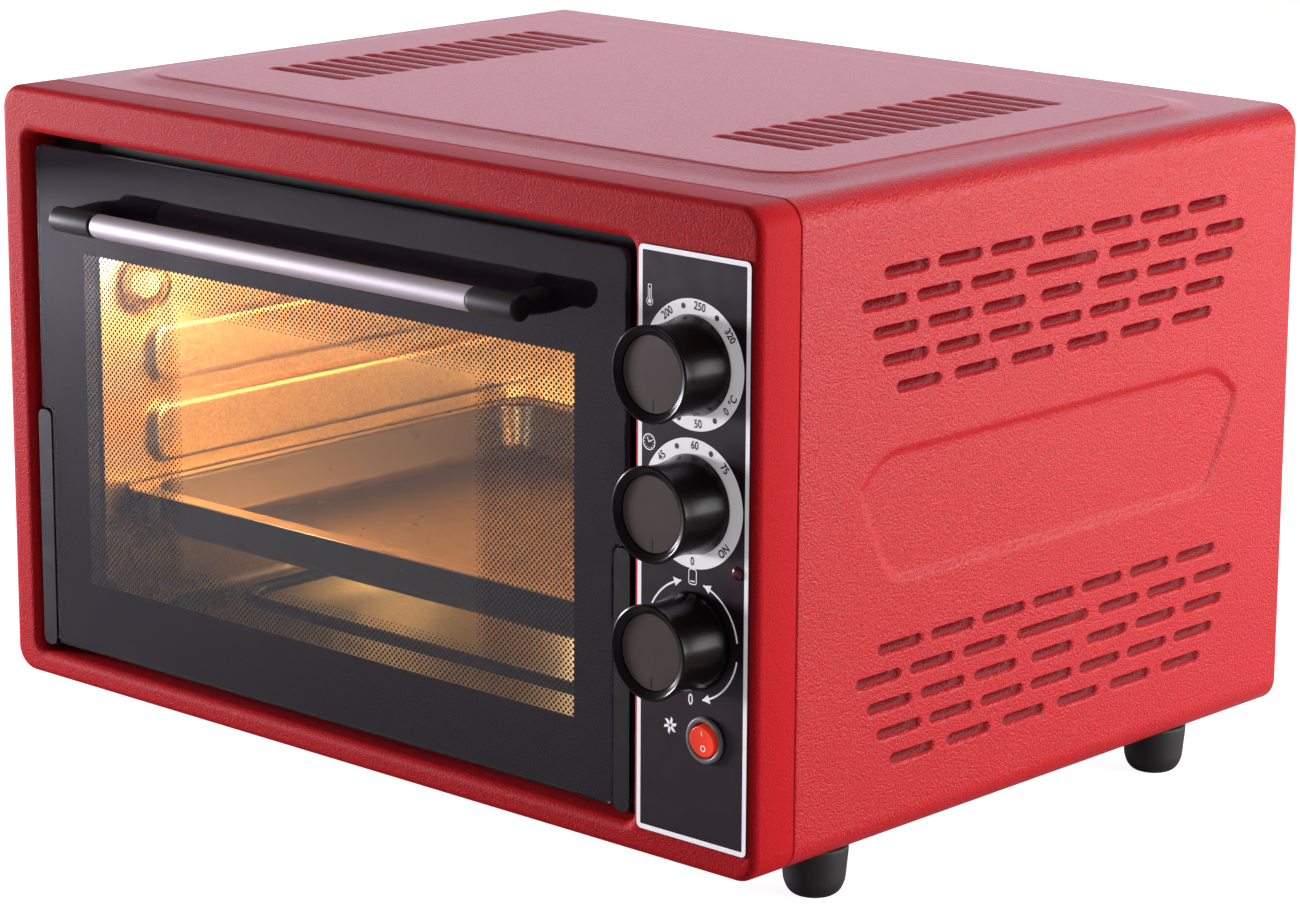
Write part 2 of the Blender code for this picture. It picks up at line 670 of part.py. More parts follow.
door_axis = axis_empty("door_axis", (DOOR_MID_X, HINGE_Y, HINGE_Z))
thermostat_axis = axis_empty("thermostat_axis", (DIAL_X, FACE_Y, THERMOSTAT_Z))
timer_axis = axis_empty("timer_axis", (DIAL_X, FACE_Y, TIMER_Z))
selector_axis = axis_empty("selector_axis", (DIAL_X, FACE_Y, SELECTOR_Z))
rocker_axis = axis_empty("rocker_axis", (SWITCH_X, FACE_Y - ROCKER_LIFT, SWITCH_Z))
fan_axis = axis_empty("fan_axis", (DOOR_MID_X, PRESS_Y, OPENING_MID_Z))
tray_axis = axis_empty("tray_axis", (DOOR_MID_X, TRAY_Y[0], TRAY_RIM_Z))


def body_block(name, inset, low_y, high_y):
    """The body's rounded section, set in from the outer surface, with the raised top and the sunk sides."""
    outline = rounded(
        (inset - HALF_WIDTH, BASE_Z + inset), (HALF_WIDTH - inset, RIM_Z - inset), BODY_CORNER - inset, CORNER_STEPS
    )
    body = slab(name, [outline], "Y", low_y, high_y)
    spread = OVERRUN * PANEL_DRAFT / PANEL_RISE
    panel_x = (PANEL_SIDE_MARGIN - HALF_WIDTH, HALF_WIDTH - PANEL_SIDE_MARGIN)
    panel_y = (SEAM_Y + PANEL_FRONT_MARGIN, REAR_Y - PANEL_REAR_MARGIN)
    rings = [
        ring_z(grown(panel_x, panel_y, PANEL_DRAFT / 2 + spread, PANEL_CORNER, CORNER_STEPS), RIM_Z - inset - OVERRUN),
        ring_z(grown(panel_x, panel_y, -PANEL_DRAFT / 2, PANEL_CORNER, CORNER_STEPS), RIM_Z - inset + PANEL_RISE),
    ]
    fuse(body, lofts(name + "_raised_panel", [rings]))
    stacks = []
    for side in (-1, 1):
        surface = HALF_WIDTH - inset
        growth = SUNK_DRAFT / 2 + OVERRUN * SUNK_DRAFT / SUNK_DEPTH
        stacks.append(
            [
                ring_x(sunk_outline(growth), side * (surface + OVERRUN)),
                ring_x(sunk_outline(-SUNK_DRAFT / 2), side * (surface - SUNK_DEPTH)),
            ]
        )
    cut(body, lofts(name + "_sunk_panels", stacks))
    return body


def sunk_outline(growth):
    """Outline of the sunk side panel: long straight edges, a cut corner above and a slanting end below."""
    half_length = (REAR_Y - SEAM_Y) / 2 - SUNK_END_MARGIN + growth
    height = SUNK_HEIGHT + 2 * growth
    right = [(CASE_MID_Y + u * half_length, MID_Z - height / 2 + v * height) for u, v in SUNK_OUTLINE_SHARES]
    left = [(2 * CASE_MID_Y - y, z) for y, z in reversed(right)]
    return right + left


# Outer casing: one sheet wrapped over the top and both sides, with a lip under each side.
casing = body_block("outer_casing", 0, SEAM_Y, REAR_Y)
cut(casing, body_block("casing_void", SHEET, SEAM_Y - OVERRUN, REAR_Y + OVERRUN))
lip_edge = HALF_WIDTH - LIP_WIDTH
cut(
    casing,
    block(
        "casing_underside_opening",
        (-lip_edge, SEAM_Y - OVERRUN, BASE_Z - OVERRUN),
        (lip_edge, REAR_Y + OVERRUN, BASE_Z + SHEET + OVERRUN),
    ),
)
top_slots = [
    slot((side * TOP_SLOT_OFFSET, PANEL_MID_Y + (i - (TOP_SLOT_COUNT - 1) / 2) * TOP_SLOT_PITCH), TOP_SLOT_LENGTH, TOP_SLOT_WIDTH)
    for side in (-1, 1)
    for i in range(TOP_SLOT_COUNT)
]
cut(casing, slab("top_slots", top_slots, "Z", RIM_Z - SHEET - OVERRUN, RIM_Z + PANEL_RISE + OVERRUN), solver="MANIFOLD")
side_slots = []
for group in (-1, 1):
    for row, shares in enumerate(ROW_PLACE_SHARES):
        height = MID_Z + group * SIDE_GROUP_OFFSET + ((len(ROW_PLACE_SHARES) - 1) / 2 - row) * SIDE_ROW_PITCH
        for share in shares:
            length = LONG_SLOT_LENGTH if row == LONG_SLOT_ROW and share == 0 else SIDE_SLOT_LENGTH
            for way in (-1, 1) if share else (1,):
                side_slots.append(slot((CASE_MID_Y + way * share * SIDE_SLOT_PITCH, height), length, SIDE_SLOT_WIDTH))
cut(casing, slab("side_slots", side_slots, "X", -HALF_WIDTH - OVERRUN, HALF_WIDTH + OVERRUN), solver="MANIFOLD")


def screw_holes(name, places, low, high):
    loops = [circle(SCREW_PLACES[place], SCREW_RADIUS + GAP) for place in places]
    return slab(name, loops, "Z", low, high)


rear_screws = ("base_screw_rear_left", "base_screw_rear_right")
front_screws = ("base_screw_front_left", "base_screw_front_right")
cut(casing, screw_holes("lip_screw_holes", rear_screws, BASE_Z - OVERRUN, BASE_Z + SHEET + OVERRUN), solver="MANIFOLD")
finish(casing, RED_COAT)


def pan(name, inset, low_y, high_y, edge):
    """Shallow rounded pan section with a rounded front edge."""
    outline = rounded(
        (inset - HALF_WIDTH, BASE_Z + inset), (HALF_WIDTH - inset, RIM_Z - inset), BODY_CORNER - inset, CORNER_STEPS
    )
    body = slab(name, [outline], "Y", low_y, high_y)
    bm = bmesh.new()
    bm.from_mesh(body.data)
    front = [edge_ for edge_ in bm.edges if all(abs(vert.co.y - low_y) < WELD for vert in edge_.verts) and edge_.calc_face_angle() > 1]
    bmesh.ops.bevel(bm, geom=front, offset=edge, segments=3, profile=0.5, affect="EDGES")
    bm.to_mesh(body.data)
    bm.free()
    return body


def door_tunnel(name, radius, rear_y):
    """The door opening's air, or the outside of its sheet, from the rolled front edge to rear_y."""
    centre_y = FACE_Y + OPENING_ROLL
    rings = [ring_y(grown(OPENING_X, OPENING_Z, OPENING_ROLL, OPENING_CORNER), FACE_Y - OVERRUN)]
    for i in range(4):
        turn = pi / 6 * i
        growth = OPENING_ROLL - radius * sin(turn)
        rings.append(ring_y(grown(OPENING_X, OPENING_Z, growth, OPENING_CORNER), centre_y - radius * cos(turn)))
    rings.append(ring_y(grown(OPENING_X, OPENING_Z, OPENING_ROLL - radius, OPENING_CORNER), rear_y))
    return lofts(name, [rings])


def control_holes(name, low_y, high_y):
    """Holes for the three shafts, the pilot light and the switch."""
    loops = [circle((DIAL_X, z), SHAFT_HOLE_RADIUS) for z in (THERMOSTAT_Z, TIMER_Z, SELECTOR_Z)]
    loops.append(circle((PILOT_X, PILOT_Z), PILOT_RADIUS + GAP))
    loops.append(circle((SWITCH_X, SWITCH_Z), SWITCH_RADIUS + GAP, ROUND_STEPS))
    return slab(name, loops, "Y", low_y, high_y)


# Front bezel: a pan whose door opening rolls inwards to a return wall.
return_y = FLANGE_Y - GAP
bezel = pan("front_bezel", 0, FACE_Y, SEAM_Y - GAP, FACE_ROUND)
bezel_void = pan("bezel_void", SHEET, FACE_Y + SHEET, SEAM_Y + OVERRUN, FACE_ROUND - SHEET)
cut(bezel_void, door_tunnel("return_wall_sheet", OPENING_ROLL - SHEET, return_y))
cut(bezel, bezel_void)
cut(bezel, door_tunnel("door_opening", OPENING_ROLL, SEAM_Y + OVERRUN))
cut(bezel, control_holes("bezel_control_holes", FACE_Y - OVERRUN, FACE_Y + SHEET + OVERRUN))
pin_reach = SHEET + GAP + BRACKET_SHEET + OVERRUN
cut(
    bezel,
    slab("return_wall_pin_holes", [circle((HINGE_Y, HINGE_Z), PIN_RADIUS + GAP)], "X", OPENING_X[0] - pin_reach, OPENING_X[1] + pin_reach),
)
cut(bezel, screw_holes("bezel_screw_holes", front_screws, BASE_Z - OVERRUN, BASE_Z + SHEET + OVERRUN))
finish(bezel, RED_COAT)

# Rear panel: a pan set into the casing's rear edge, with two fields of vents and the hole for the gland.
rear_gap = SHEET + GAP
rear_low = (rear_gap - HALF_WIDTH, BASE_Z + rear_gap)
rear_high = (HALF_WIDTH - rear_gap, RIM_Z - rear_gap)
rear_panel = slab("rear_panel", [rounded(rear_low, rear_high, BODY_CORNER - rear_gap, CORNER_STEPS)], "Y", SKIRT_Y, REAR_FACE_Y)
void_low = (rear_low[0] + SHEET, rear_low[1] + SHEET)
void_high = (rear_high[0] - SHEET, rear_high[1] - SHEET)
rear_void = rounded(void_low, void_high, BODY_CORNER - rear_gap - SHEET, CORNER_STEPS)
cut(rear_panel, slab("rear_panel_void", [rear_void], "Y", SKIRT_Y - OVERRUN, REAR_FACE_Y - SHEET))
rear_slots = [
    slot((side * REAR_SLOT_OFFSET, MID_Z + REAR_SLOT_RISE + (i - (REAR_SLOT_COUNT - 1) / 2) * REAR_SLOT_PITCH), REAR_SLOT_LENGTH, REAR_SLOT_WIDTH)
    for side in (-1, 1)
    for i in range(REAR_SLOT_COUNT)
]
gland_place = (HALF_WIDTH - GLAND_SIDE_MARGIN, BASE_Z + GLAND_RISE)
rear_slots.append(circle(gland_place, GLAND_NECK_RADIUS + GAP))
cut(rear_panel, slab("rear_slots", rear_slots, "Y", REAR_FACE_Y - SHEET - OVERRUN, REAR_FACE_Y + OVERRUN))
cut(rear_panel, screw_holes("skirt_screw_holes", rear_screws, SKIRT_Z - OVERRUN, SKIRT_Z + SHEET + OVERRUN))
finish(rear_panel, GALVANISED)

# Base plate, lying on the casing's lips and on the bezel's lower skirt.
base_half = HALF_WIDTH - BODY_CORNER
base_y = (SEAM_Y - BASE_LAP, SKIRT_Y - GAP)
base_loops = [rounded((-base_half, base_y[0]), (base_half, base_y[1]), FACE_ROUND, SMALL_STEPS)]
for side in (-1, 1):
    for i in range(BASE_SLOT_COUNT):
        across = sum(base_y) / 2 + (i - (BASE_SLOT_COUNT - 1) / 2) * BASE_SLOT_PITCH
        base_loops.append(slot((side * BASE_SLOT_OFFSET, across), BASE_SLOT_LENGTH, BASE_SLOT_WIDTH))
for place in front_screws:
    base_loops.append(circle(SCREW_PLACES[place], SCREW_RADIUS + GAP))
finish(slab("base_plate", base_loops, "Z", SKIRT_Z, SKIRT_Z + SHEET), GALVANISED)

for name, (x, y) in SCREW_PLACES.items():
    profile = [
        (0, SCREW_LENGTH),
        (SCREW_RADIUS, SCREW_LENGTH),
        (SCREW_RADIUS, -GAP),
        (SCREW_HEAD_RADIUS, -GAP),
        (SCREW_HEAD_RADIUS, -GAP - SCREW_HEAD_HEIGHT / 2),
        (SCREW_HEAD_RADIUS * 0.7, -GAP - SCREW_HEAD_HEIGHT),
        (0, -GAP - SCREW_HEAD_HEIGHT),
    ]
    finish(turned(name, profile, (x, y, BASE_Z), UP, SMALL_ROUND_STEPS), STEEL)

# Feet.
foot_profile = [
    (0, -GAP),
    (FOOT_RADIUS, -GAP),
    (FOOT_RADIUS, -FOOT_FLANGE),
    (FOOT_RADIUS - FOOT_TAPER, FOOT_ROUND - FOOT_HEIGHT),
]
for i in range(1, 4):
    angle = pi / 6 * i
    foot_profile.append(
        (FOOT_RADIUS - FOOT_TAPER - FOOT_ROUND * (1 - cos(angle)), FOOT_ROUND - FOOT_HEIGHT - FOOT_ROUND * sin(angle))
    )
foot_profile.append((0, -FOOT_HEIGHT))
for side_name, side in (("left", -1), ("right", 1)):
    for end_name, y in (("front", FACE_Y + FOOT_END_INSET), ("rear", REAR_Y - FOOT_END_INSET)):
        place = (side * (HALF_WIDTH - FOOT_SIDE_INSET), y, BASE_Z)
        finish(turned("foot_" + end_name + "_" + side_name, foot_profile, place, UP, SMALL_ROUND_STEPS), RUBBER)


def chamber_block(name, offset, low_y, high_y):
    """The chamber's inside grown by offset, with the ribs pressed in from both sides and the back pressed forwards."""
    low, high = (CHAMBER_X[0] - offset, CHAMBER_Z[0] - offset), (CHAMBER_X[1] + offset, CHAMBER_Z[1] + offset)
    body = slab(name, [rounded(low, high, CHAMBER_CORNER + offset, SMALL_STEPS)], "Y", low_y, high_y)
    stacks = []
    slope = RIB_DRAFT / RIB_RISE
    rib_y = (CHAMBER_FRONT_Y + RIB_FRONT_MARGIN, CHAMBER_REAR_Y - RIB_REAR_MARGIN)
    for side, wall in ((1, low[0]), (-1, high[0])):
        for i in range(RIB_COUNT):
            rib_low = CHAMBER_Z[0] + RIB_FIRST_LOW + i * RIB_PITCH
            rib_z = (rib_low, rib_low + RIB_HEIGHT)
            stacks.append(
                [
                    ring_x(grown(rib_y, rib_z, OVERRUN * slope, RIB_CORNER), wall - side * OVERRUN),
                    ring_x(grown(rib_y, rib_z, -RIB_DRAFT, RIB_CORNER), wall + side * RIB_RISE),
                ]
            )
    cut(body, lofts(name + "_ribs", stacks))
    spread = OVERRUN * BACK_PRESS_DRAFT / BACK_PRESS_RISE
    rear = CHAMBER_REAR_Y + offset
    rings = [
        ring_y(grown(CHAMBER_X, CHAMBER_Z, spread - BACK_PRESS_MARGIN, BACK_PRESS_CORNER + BACK_PRESS_MARGIN), rear + OVERRUN),
        ring_y(
            grown(CHAMBER_X, CHAMBER_Z, -BACK_PRESS_DRAFT - BACK_PRESS_MARGIN, BACK_PRESS_CORNER + BACK_PRESS_MARGIN),
            rear - BACK_PRESS_RISE,
        ),
    ]
    cut(body, lofts(name + "_back_pressing", [rings]))
    return body


# Oven chamber: a folded box with a front flange, three ribs on each side and a pressed back.
heater_y = (CHAMBER_FRONT_Y + HEATER_FRONT_MARGIN, CHAMBER_REAR_Y - HEATER_REAR_MARGIN)
heater_z = (CHAMBER_Z[0] + HEATER_LOW_RISE, CHAMBER_Z[1] - HEATER_TOP_DROP)
lamp_y = CHAMBER_FRONT_Y + LAMP_FRONT_MARGIN
lamp_z = CHAMBER_Z[1] - LAMP_TOP_DROP
sensor_z = CHAMBER_Z[1] - SENSOR_TOP_DROP
sensor_y = CHAMBER_FRONT_Y + SENSOR_FRONT_MARGIN
sensor_hole_y = sensor_y - SENSOR_NECK - SENSOR_TURN

chamber = chamber_block("chamber_shell", SHEET, FLANGE_Y, CHAMBER_REAR_Y + SHEET)
flange = rounded(
    (OPENING_X[0] - FLANGE_LAP, OPENING_Z[0] - FLANGE_LAP), (OPENING_X[1] + FLANGE_LAP, OPENING_Z[1] + FLANGE_LAP), OPENING_CORNER, SMALL_STEPS
)
fuse(chamber, slab("chamber_flange", [flange], "Y", FLANGE_Y, FLANGE_Y + SHEET))
cut(chamber, chamber_block("chamber_void", 0, FLANGE_Y - OVERRUN, CHAMBER_REAR_Y))
right_holes = [circle((y, z), HEATER_RADIUS + GAP) for y in heater_y for z in heater_z]
right_holes.append(circle((sensor_hole_y, sensor_z), SENSOR_HOLE_RADIUS))
cut(chamber, slab("right_wall_holes", right_holes, "X", CHAMBER_X[1] - OVERRUN, CHAMBER_X[1] + SHEET + OVERRUN))
lamp_hole = circle((lamp_y, lamp_z), LAMP_HOLE_RADIUS)
cut(chamber, slab("lamp_hole", [lamp_hole], "X", CHAMBER_X[0] - SHEET - OVERRUN, CHAMBER_X[0] + OVERRUN))
fan_hole = circle((DOOR_MID_X, OPENING_MID_Z), FAN_HOLE_RADIUS)
cut(chamber, slab("fan_shaft_hole", [fan_hole], "Y", PRESS_Y - OVERRUN, PRESS_Y + SHEET + OVERRUN))
finish(chamber, GALVANISED)


def heater(name, z):
    """U-shaped tubular heater whose two ends pass through the right wall."""
    left = CHAMBER_X[0] + HEATER_SIDE_MARGIN
    end = CHAMBER_X[1] + SHEET + HEATER_TAIL
    points = [(end, heater_y[0], z)]
    for i in range(7):
        angle = pi / 2 * i / 6
        points.append((left + HEATER_BEND * (1 - sin(angle)), heater_y[0] + HEATER_BEND * (1 - cos(angle)), z))
    for i in range(7):
        angle = pi / 2 * i / 6
        points.append((left + HEATER_BEND * (1 - cos(angle)), heater_y[1] - HEATER_BEND * (1 - sin(angle)), z))
    points.append((end, heater_y[1], z))
    return tube(name, points, HEATER_RADIUS)


finish(heater("lower_heater", heater_z[0]), HEATER_STEEL)
finish(heater("upper_heater", heater_z[1]), HEATER_STEEL)

# Lamp: holder outside the left wall, bulb through the wall, glass lens inside.
lamp_place = (CHAMBER_X[0], lamp_y, lamp_z)
lens_inner = LENS_RADIUS - LENS_GLASS
lens_profile = [
    (0, LENS_DEPTH),
    (LENS_RADIUS * 0.6, LENS_DEPTH * 0.93),
    (LENS_RADIUS * 0.9, LENS_DEPTH * 0.7),
    (LENS_RADIUS, LENS_DEPTH * 0.4),
    (LENS_RADIUS, GAP + LENS_GLASS),
    (LENS_RADIUS + LENS_LIP, GAP + LENS_GLASS),
    (LENS_RADIUS + LENS_LIP, GAP),
    (lens_inner, GAP),
    (lens_inner, LENS_DEPTH * 0.4),
    (lens_inner * 0.88, LENS_DEPTH * 0.64),
    (lens_inner * 0.6, LENS_DEPTH * 0.83),
    (0, LENS_DEPTH - LENS_GLASS),
]
finish(turned("lamp_lens", lens_profile, lamp_place, RIGHT), CLEAR_GLASS)
bulb_profile = [
    (0, BULB_REACH),
    (BULB_RADIUS * 0.6, BULB_REACH * 0.93),
    (BULB_RADIUS, BULB_REACH * 0.65),
    (BULB_RADIUS, BULB_REACH * 0.3),
    (BULB_BASE_RADIUS, -GAP),
    (BULB_BASE_RADIUS, -BULB_BASE_DEPTH),
    (0, -BULB_BASE_DEPTH),
]
finish(turned("lamp_bulb", bulb_profile, lamp_place, RIGHT, SMALL_ROUND_STEPS), CLEAR_GLASS)
holder_front = -SHEET - GAP
holder_profile = [
    (0, -BULB_BASE_DEPTH - GAP),
    (BULB_BASE_RADIUS + GAP, -BULB_BASE_DEPTH - GAP),
    (BULB_BASE_RADIUS + GAP, holder_front),
    (HOLDER_FLANGE_RADIUS, holder_front),
    (HOLDER_FLANGE_RADIUS, holder_front - HOLDER_FLANGE),
    (HOLDER_RADIUS, holder_front - HOLDER_FLANGE),
    (HOLDER_RADIUS, -HOLDER_DEPTH),
    (0, -HOLDER_DEPTH),
]
finish(turned("lamp_holder", holder_profile, lamp_place, RIGHT), CERAMIC)

# Thermostat sensor and its thin pipe.
sensor_x = CHAMBER_X[1] - SENSOR_WALL_DISTANCE
body_rear_y = FACE_Y + BEHIND_FACE + THERMOSTAT_DEPTH
pipe_x = DIAL_X - THERMOSTAT_SIZE / 4
sensor_points = [
    (sensor_x, sensor_y + SENSOR_LENGTH, sensor_z),
    (sensor_x, sensor_y, sensor_z),
    (sensor_x, sensor_y - SENSOR_NECK, sensor_z),
    (sensor_x + SENSOR_WALL_DISTANCE / 2, sensor_hole_y, sensor_z),
    (CHAMBER_X[1] + SHEET + SENSOR_WALL_DISTANCE, sensor_hole_y, sensor_z),
    ((CHAMBER_X[1] + pipe_x) / 2 + SENSOR_TURN, sensor_hole_y - SENSOR_TURN, sensor_z),
    (pipe_x, body_rear_y + SENSOR_TURN, (sensor_z + THERMOSTAT_Z) / 2),
    (pipe_x, body_rear_y + GAP, (sensor_z + THERMOSTAT_Z) / 2),
]
sensor_radii = [SENSOR_RADIUS] * 2 + [SENSOR_PIPE_RADIUS] * (len(sensor_points) - 2)
finish(tube("thermostat_sensor", sensor_points, SENSOR_RADIUS, 2, sensor_radii), STEEL)

# Fan: motor behind the pressed back, shaft through it, wheel under a slotted cover.
fan_place = tuple(fan_axis.location)
lip_radius = COVER_RADIUS + COVER_LIP
cover_inner = COVER_RADIUS - COVER_SHEET
cover_profile = [
    (0, COVER_DEPTH),
    (COVER_RADIUS - COVER_ROUND, COVER_DEPTH),
    (COVER_RADIUS, COVER_DEPTH - COVER_ROUND),
    (COVER_RADIUS, GAP + COVER_SHEET),
    (lip_radius, GAP + COVER_SHEET),
    (lip_radius, GAP),
    (cover_inner, GAP),
    (cover_inner, COVER_DEPTH - COVER_ROUND),
    (cover_inner - COVER_ROUND + COVER_SHEET, COVER_DEPTH - COVER_SHEET),
    (0, COVER_DEPTH - COVER_SHEET),
]
cover = turned("fan_cover", cover_profile, fan_place, FRONT)
cover_slots = []
for i in range(COVER_SLOT_COUNT):
    angle = 2 * pi * i / COVER_SLOT_COUNT
    centre = (DOOR_MID_X + COVER_SLOT_RADIUS * cos(angle), OPENING_MID_Z + COVER_SLOT_RADIUS * sin(angle))
    cover_slots.append(slot(centre, COVER_SLOT_LENGTH, COVER_SLOT_WIDTH, angle))
cover_front_y = PRESS_Y - COVER_DEPTH
cut(cover, slab("cover_slots", cover_slots, "Y", cover_front_y - OVERRUN, cover_front_y + COVER_SHEET + OVERRUN / 2))
finish(cover, GALVANISED)

hub_floor = FAN_STAND_OFF + FAN_SHAFT_HUB_BITE + GAP
wheel_profile = [
    (0, hub_floor),
    (0, FAN_STAND_OFF + HUB_HEIGHT),
    (HUB_RADIUS, FAN_STAND_OFF + HUB_HEIGHT),
    (HUB_RADIUS, FAN_STAND_OFF + FAN_DISC),
    (FAN_RADIUS, FAN_STAND_OFF + FAN_DISC),
    (FAN_RADIUS, FAN_STAND_OFF),
    (FAN_SHAFT_RADIUS + GAP, FAN_STAND_OFF),
    (FAN_SHAFT_RADIUS + GAP, hub_floor),
    (0, hub_floor),
]
wheel = turned("fan_wheel", wheel_profile[1:], fan_place, FRONT)
blades = bmesh.new()
for i in range(BLADE_COUNT):
    reach = (BLADE_INNER_RADIUS + FAN_RADIUS) / 2
    size = Matrix.Diagonal((FAN_RADIUS - BLADE_INNER_RADIUS - FAN_DISC, BLADE_HEIGHT + FAN_DISC / 2, BLADE_THICKNESS, 1))
    height = Matrix.Translation((reach, -FAN_STAND_OFF - FAN_DISC / 2 - (BLADE_HEIGHT + FAN_DISC / 2) / 2, 0))
    turn = Matrix.Rotation(2 * pi * i / BLADE_COUNT, 4, "Y")
    place = Matrix.Translation(fan_place) @ turn @ height @ size
    bmesh.ops.create_cube(blades, size=1, matrix=place)
fuse(wheel, add_mesh("fan_blades", blades))
finish(wheel, GALVANISED, fan_axis)

motor_front = -SHEET - GAP
motor_floor = motor_front - FAN_SHAFT_MOTOR_BITE
motor_profile = [
    (0, motor_floor),
    (FAN_SHAFT_RADIUS + GAP, motor_floor),
    (FAN_SHAFT_RADIUS + GAP, motor_front),
    (MOTOR_RADIUS, motor_front),
    (MOTOR_RADIUS, motor_front - MOTOR_DEPTH + MOTOR_ROUND),
    (MOTOR_RADIUS - MOTOR_ROUND, motor_front - MOTOR_DEPTH),
    (0, motor_front - MOTOR_DEPTH),
]
finish(turned("fan_motor", motor_profile, fan_place, FRONT), BLACK_STEEL)
fan_shaft_top = hub_floor - GAP
fan_shaft_profile = [
    (0, fan_shaft_top),
    (FAN_SHAFT_RADIUS, fan_shaft_top),
    (FAN_SHAFT_RADIUS, motor_floor + GAP),
    (0, motor_floor + GAP),
]
finish(turned("fan_shaft", fan_shaft_profile, fan_place, FRONT, SMALL_ROUND_STEPS), STEEL, fan_axis)


def tray_ring(growth, drop, corner):
    """Section of the tray's hollow at a depth below its rim, its sides leaning in."""
    lean = TRAY_DRAFT * drop / TRAY_DEPTH
    half = CHAMBER_WIDTH / 2 - RIB_RISE - TRAY_BODY_CLEARANCE
    x_range = (DOOR_MID_X - half, DOOR_MID_X + half)
    y_range = (TRAY_Y[0] + TRAY_END_RIM, TRAY_Y[1] - TRAY_END_RIM)
    return ring_z(grown(x_range, y_range, growth - lean, corner, CORNER_STEPS), TRAY_RIM_Z + TRAY_SHEET - drop)


# Baking tray: flat rim on the ribs, leaning sides.
rim_half = CHAMBER_WIDTH / 2 - TRAY_SIDE_PLAY
rim = rounded((DOOR_MID_X - rim_half, TRAY_Y[0]), (DOOR_MID_X + rim_half, TRAY_Y[1]), TRAY_RIM_CORNER, CORNER_STEPS)
tray = slab("baking_tray", [rim], "Z", TRAY_RIM_Z, TRAY_RIM_Z + TRAY_SHEET)
tray_corner = TRAY_BODY_CORNER + TRAY_DRAFT
tray_body = [tray_ring(0, TRAY_SHEET / 2, tray_corner), tray_ring(0, TRAY_DEPTH, tray_corner)]
fuse(tray, lofts("tray_body", [tray_body]))
hollow_floor = TRAY_DEPTH - TRAY_SHEET
tray_hollow = [tray_ring(-TRAY_SHEET, -OVERRUN, tray_corner), tray_ring(-TRAY_SHEET, hollow_floor, tray_corner)]
cut(tray, lofts("tray_hollow", [tray_hollow]))
finish(tray, ENAMEL, tray_axis)


def mirrored(x):
    """The same place on the other side of the door's middle."""
    return 2 * DOOR_MID_X - x


# Door glass with a notch at each lower corner for the hinge arms.
notch_top = ARM_Z[1] + ARM_GLASS_CLEARANCE
glass = slab("door_glass_outer", [rounded((GLASS_X[0], GLASS_Z[0]), (GLASS_X[1], GLASS_Z[1]), DOOR_GLASS_CORNER, CORNER_STEPS)], "Y", *GLASS_Y)
notch_low = GLASS_Z[0] - OVERRUN
notch_inner = GLASS_X[0] + NOTCH_WIDTH
notches = []
for outer, inner in ((GLASS_X[0] - OVERRUN, notch_inner), (mirrored(notch_inner), GLASS_X[1] + OVERRUN)):
    notches.append(rounded((outer, notch_low), (inner, notch_top), OVERRUN, SMALL_STEPS))
cut(glass, slab("hinge_notches", notches, "Y", GLASS_Y[0] - OVERRUN, GLASS_Y[1] + OVERRUN))
post_places = [(DOOR_MID_X + side * POST_OFFSET, HANDLE_Z) for side in (-1, 1)]
screw_loops = [circle(place, HANDLE_SCREW_RADIUS + GAP) for place in post_places]
cut(glass, slab("glass_screw_holes", screw_loops, "Y", GLASS_Y[0] - OVERRUN, GLASS_Y[1] + OVERRUN))
finish(glass, BLACK_GLASS, door_axis)

# Steel frame behind the glass, with the inner glass let into its back.
frame = slab(
    "door_inner_frame",
    [
        rounded((FRAME_X[0], FRAME_Z[0]), (FRAME_X[1], FRAME_Z[1]), FRAME_CORNER, SMALL_STEPS),
        grown(WINDOW_X, WINDOW_Z, FRAME_WINDOW_MARGIN, FRAME_WINDOW_CORNER),
    ],
    "Y",
    *FRAME_Y,
)
inner_growth = FRAME_WINDOW_MARGIN + INNER_GLASS_LAP
inner_y = (FRAME_Y[1] - GAP - INNER_GLASS, FRAME_Y[1] - GAP)
rebate = grown(WINDOW_X, WINDOW_Z, inner_growth + GAP, FRAME_WINDOW_CORNER)
cut(frame, slab("inner_glass_rebate", [rebate], "Y", inner_y[0] - GAP, FRAME_Y[1] + OVERRUN))
cut(frame, slab("frame_screw_holes", screw_loops, "Y", FRAME_Y[0] - OVERRUN, FRAME_Y[1]))
land_y = FRAME_Y[0] + HANDLE_SCREW_LAND
head_loops = [circle(place, HANDLE_SCREW_HEAD_RADIUS + 2 * GAP) for place in post_places]
cut(frame, slab("frame_screw_pockets", head_loops, "Y", land_y, FRAME_Y[1] + OVERRUN))
finish(frame, BLACK_STEEL, door_axis)
inner_glass = slab("door_glass_inner", [grown(WINDOW_X, WINDOW_Z, inner_growth, FRAME_WINDOW_CORNER)], "Y", *inner_y)
finish(inner_glass, CLEAR_GLASS, door_axis)

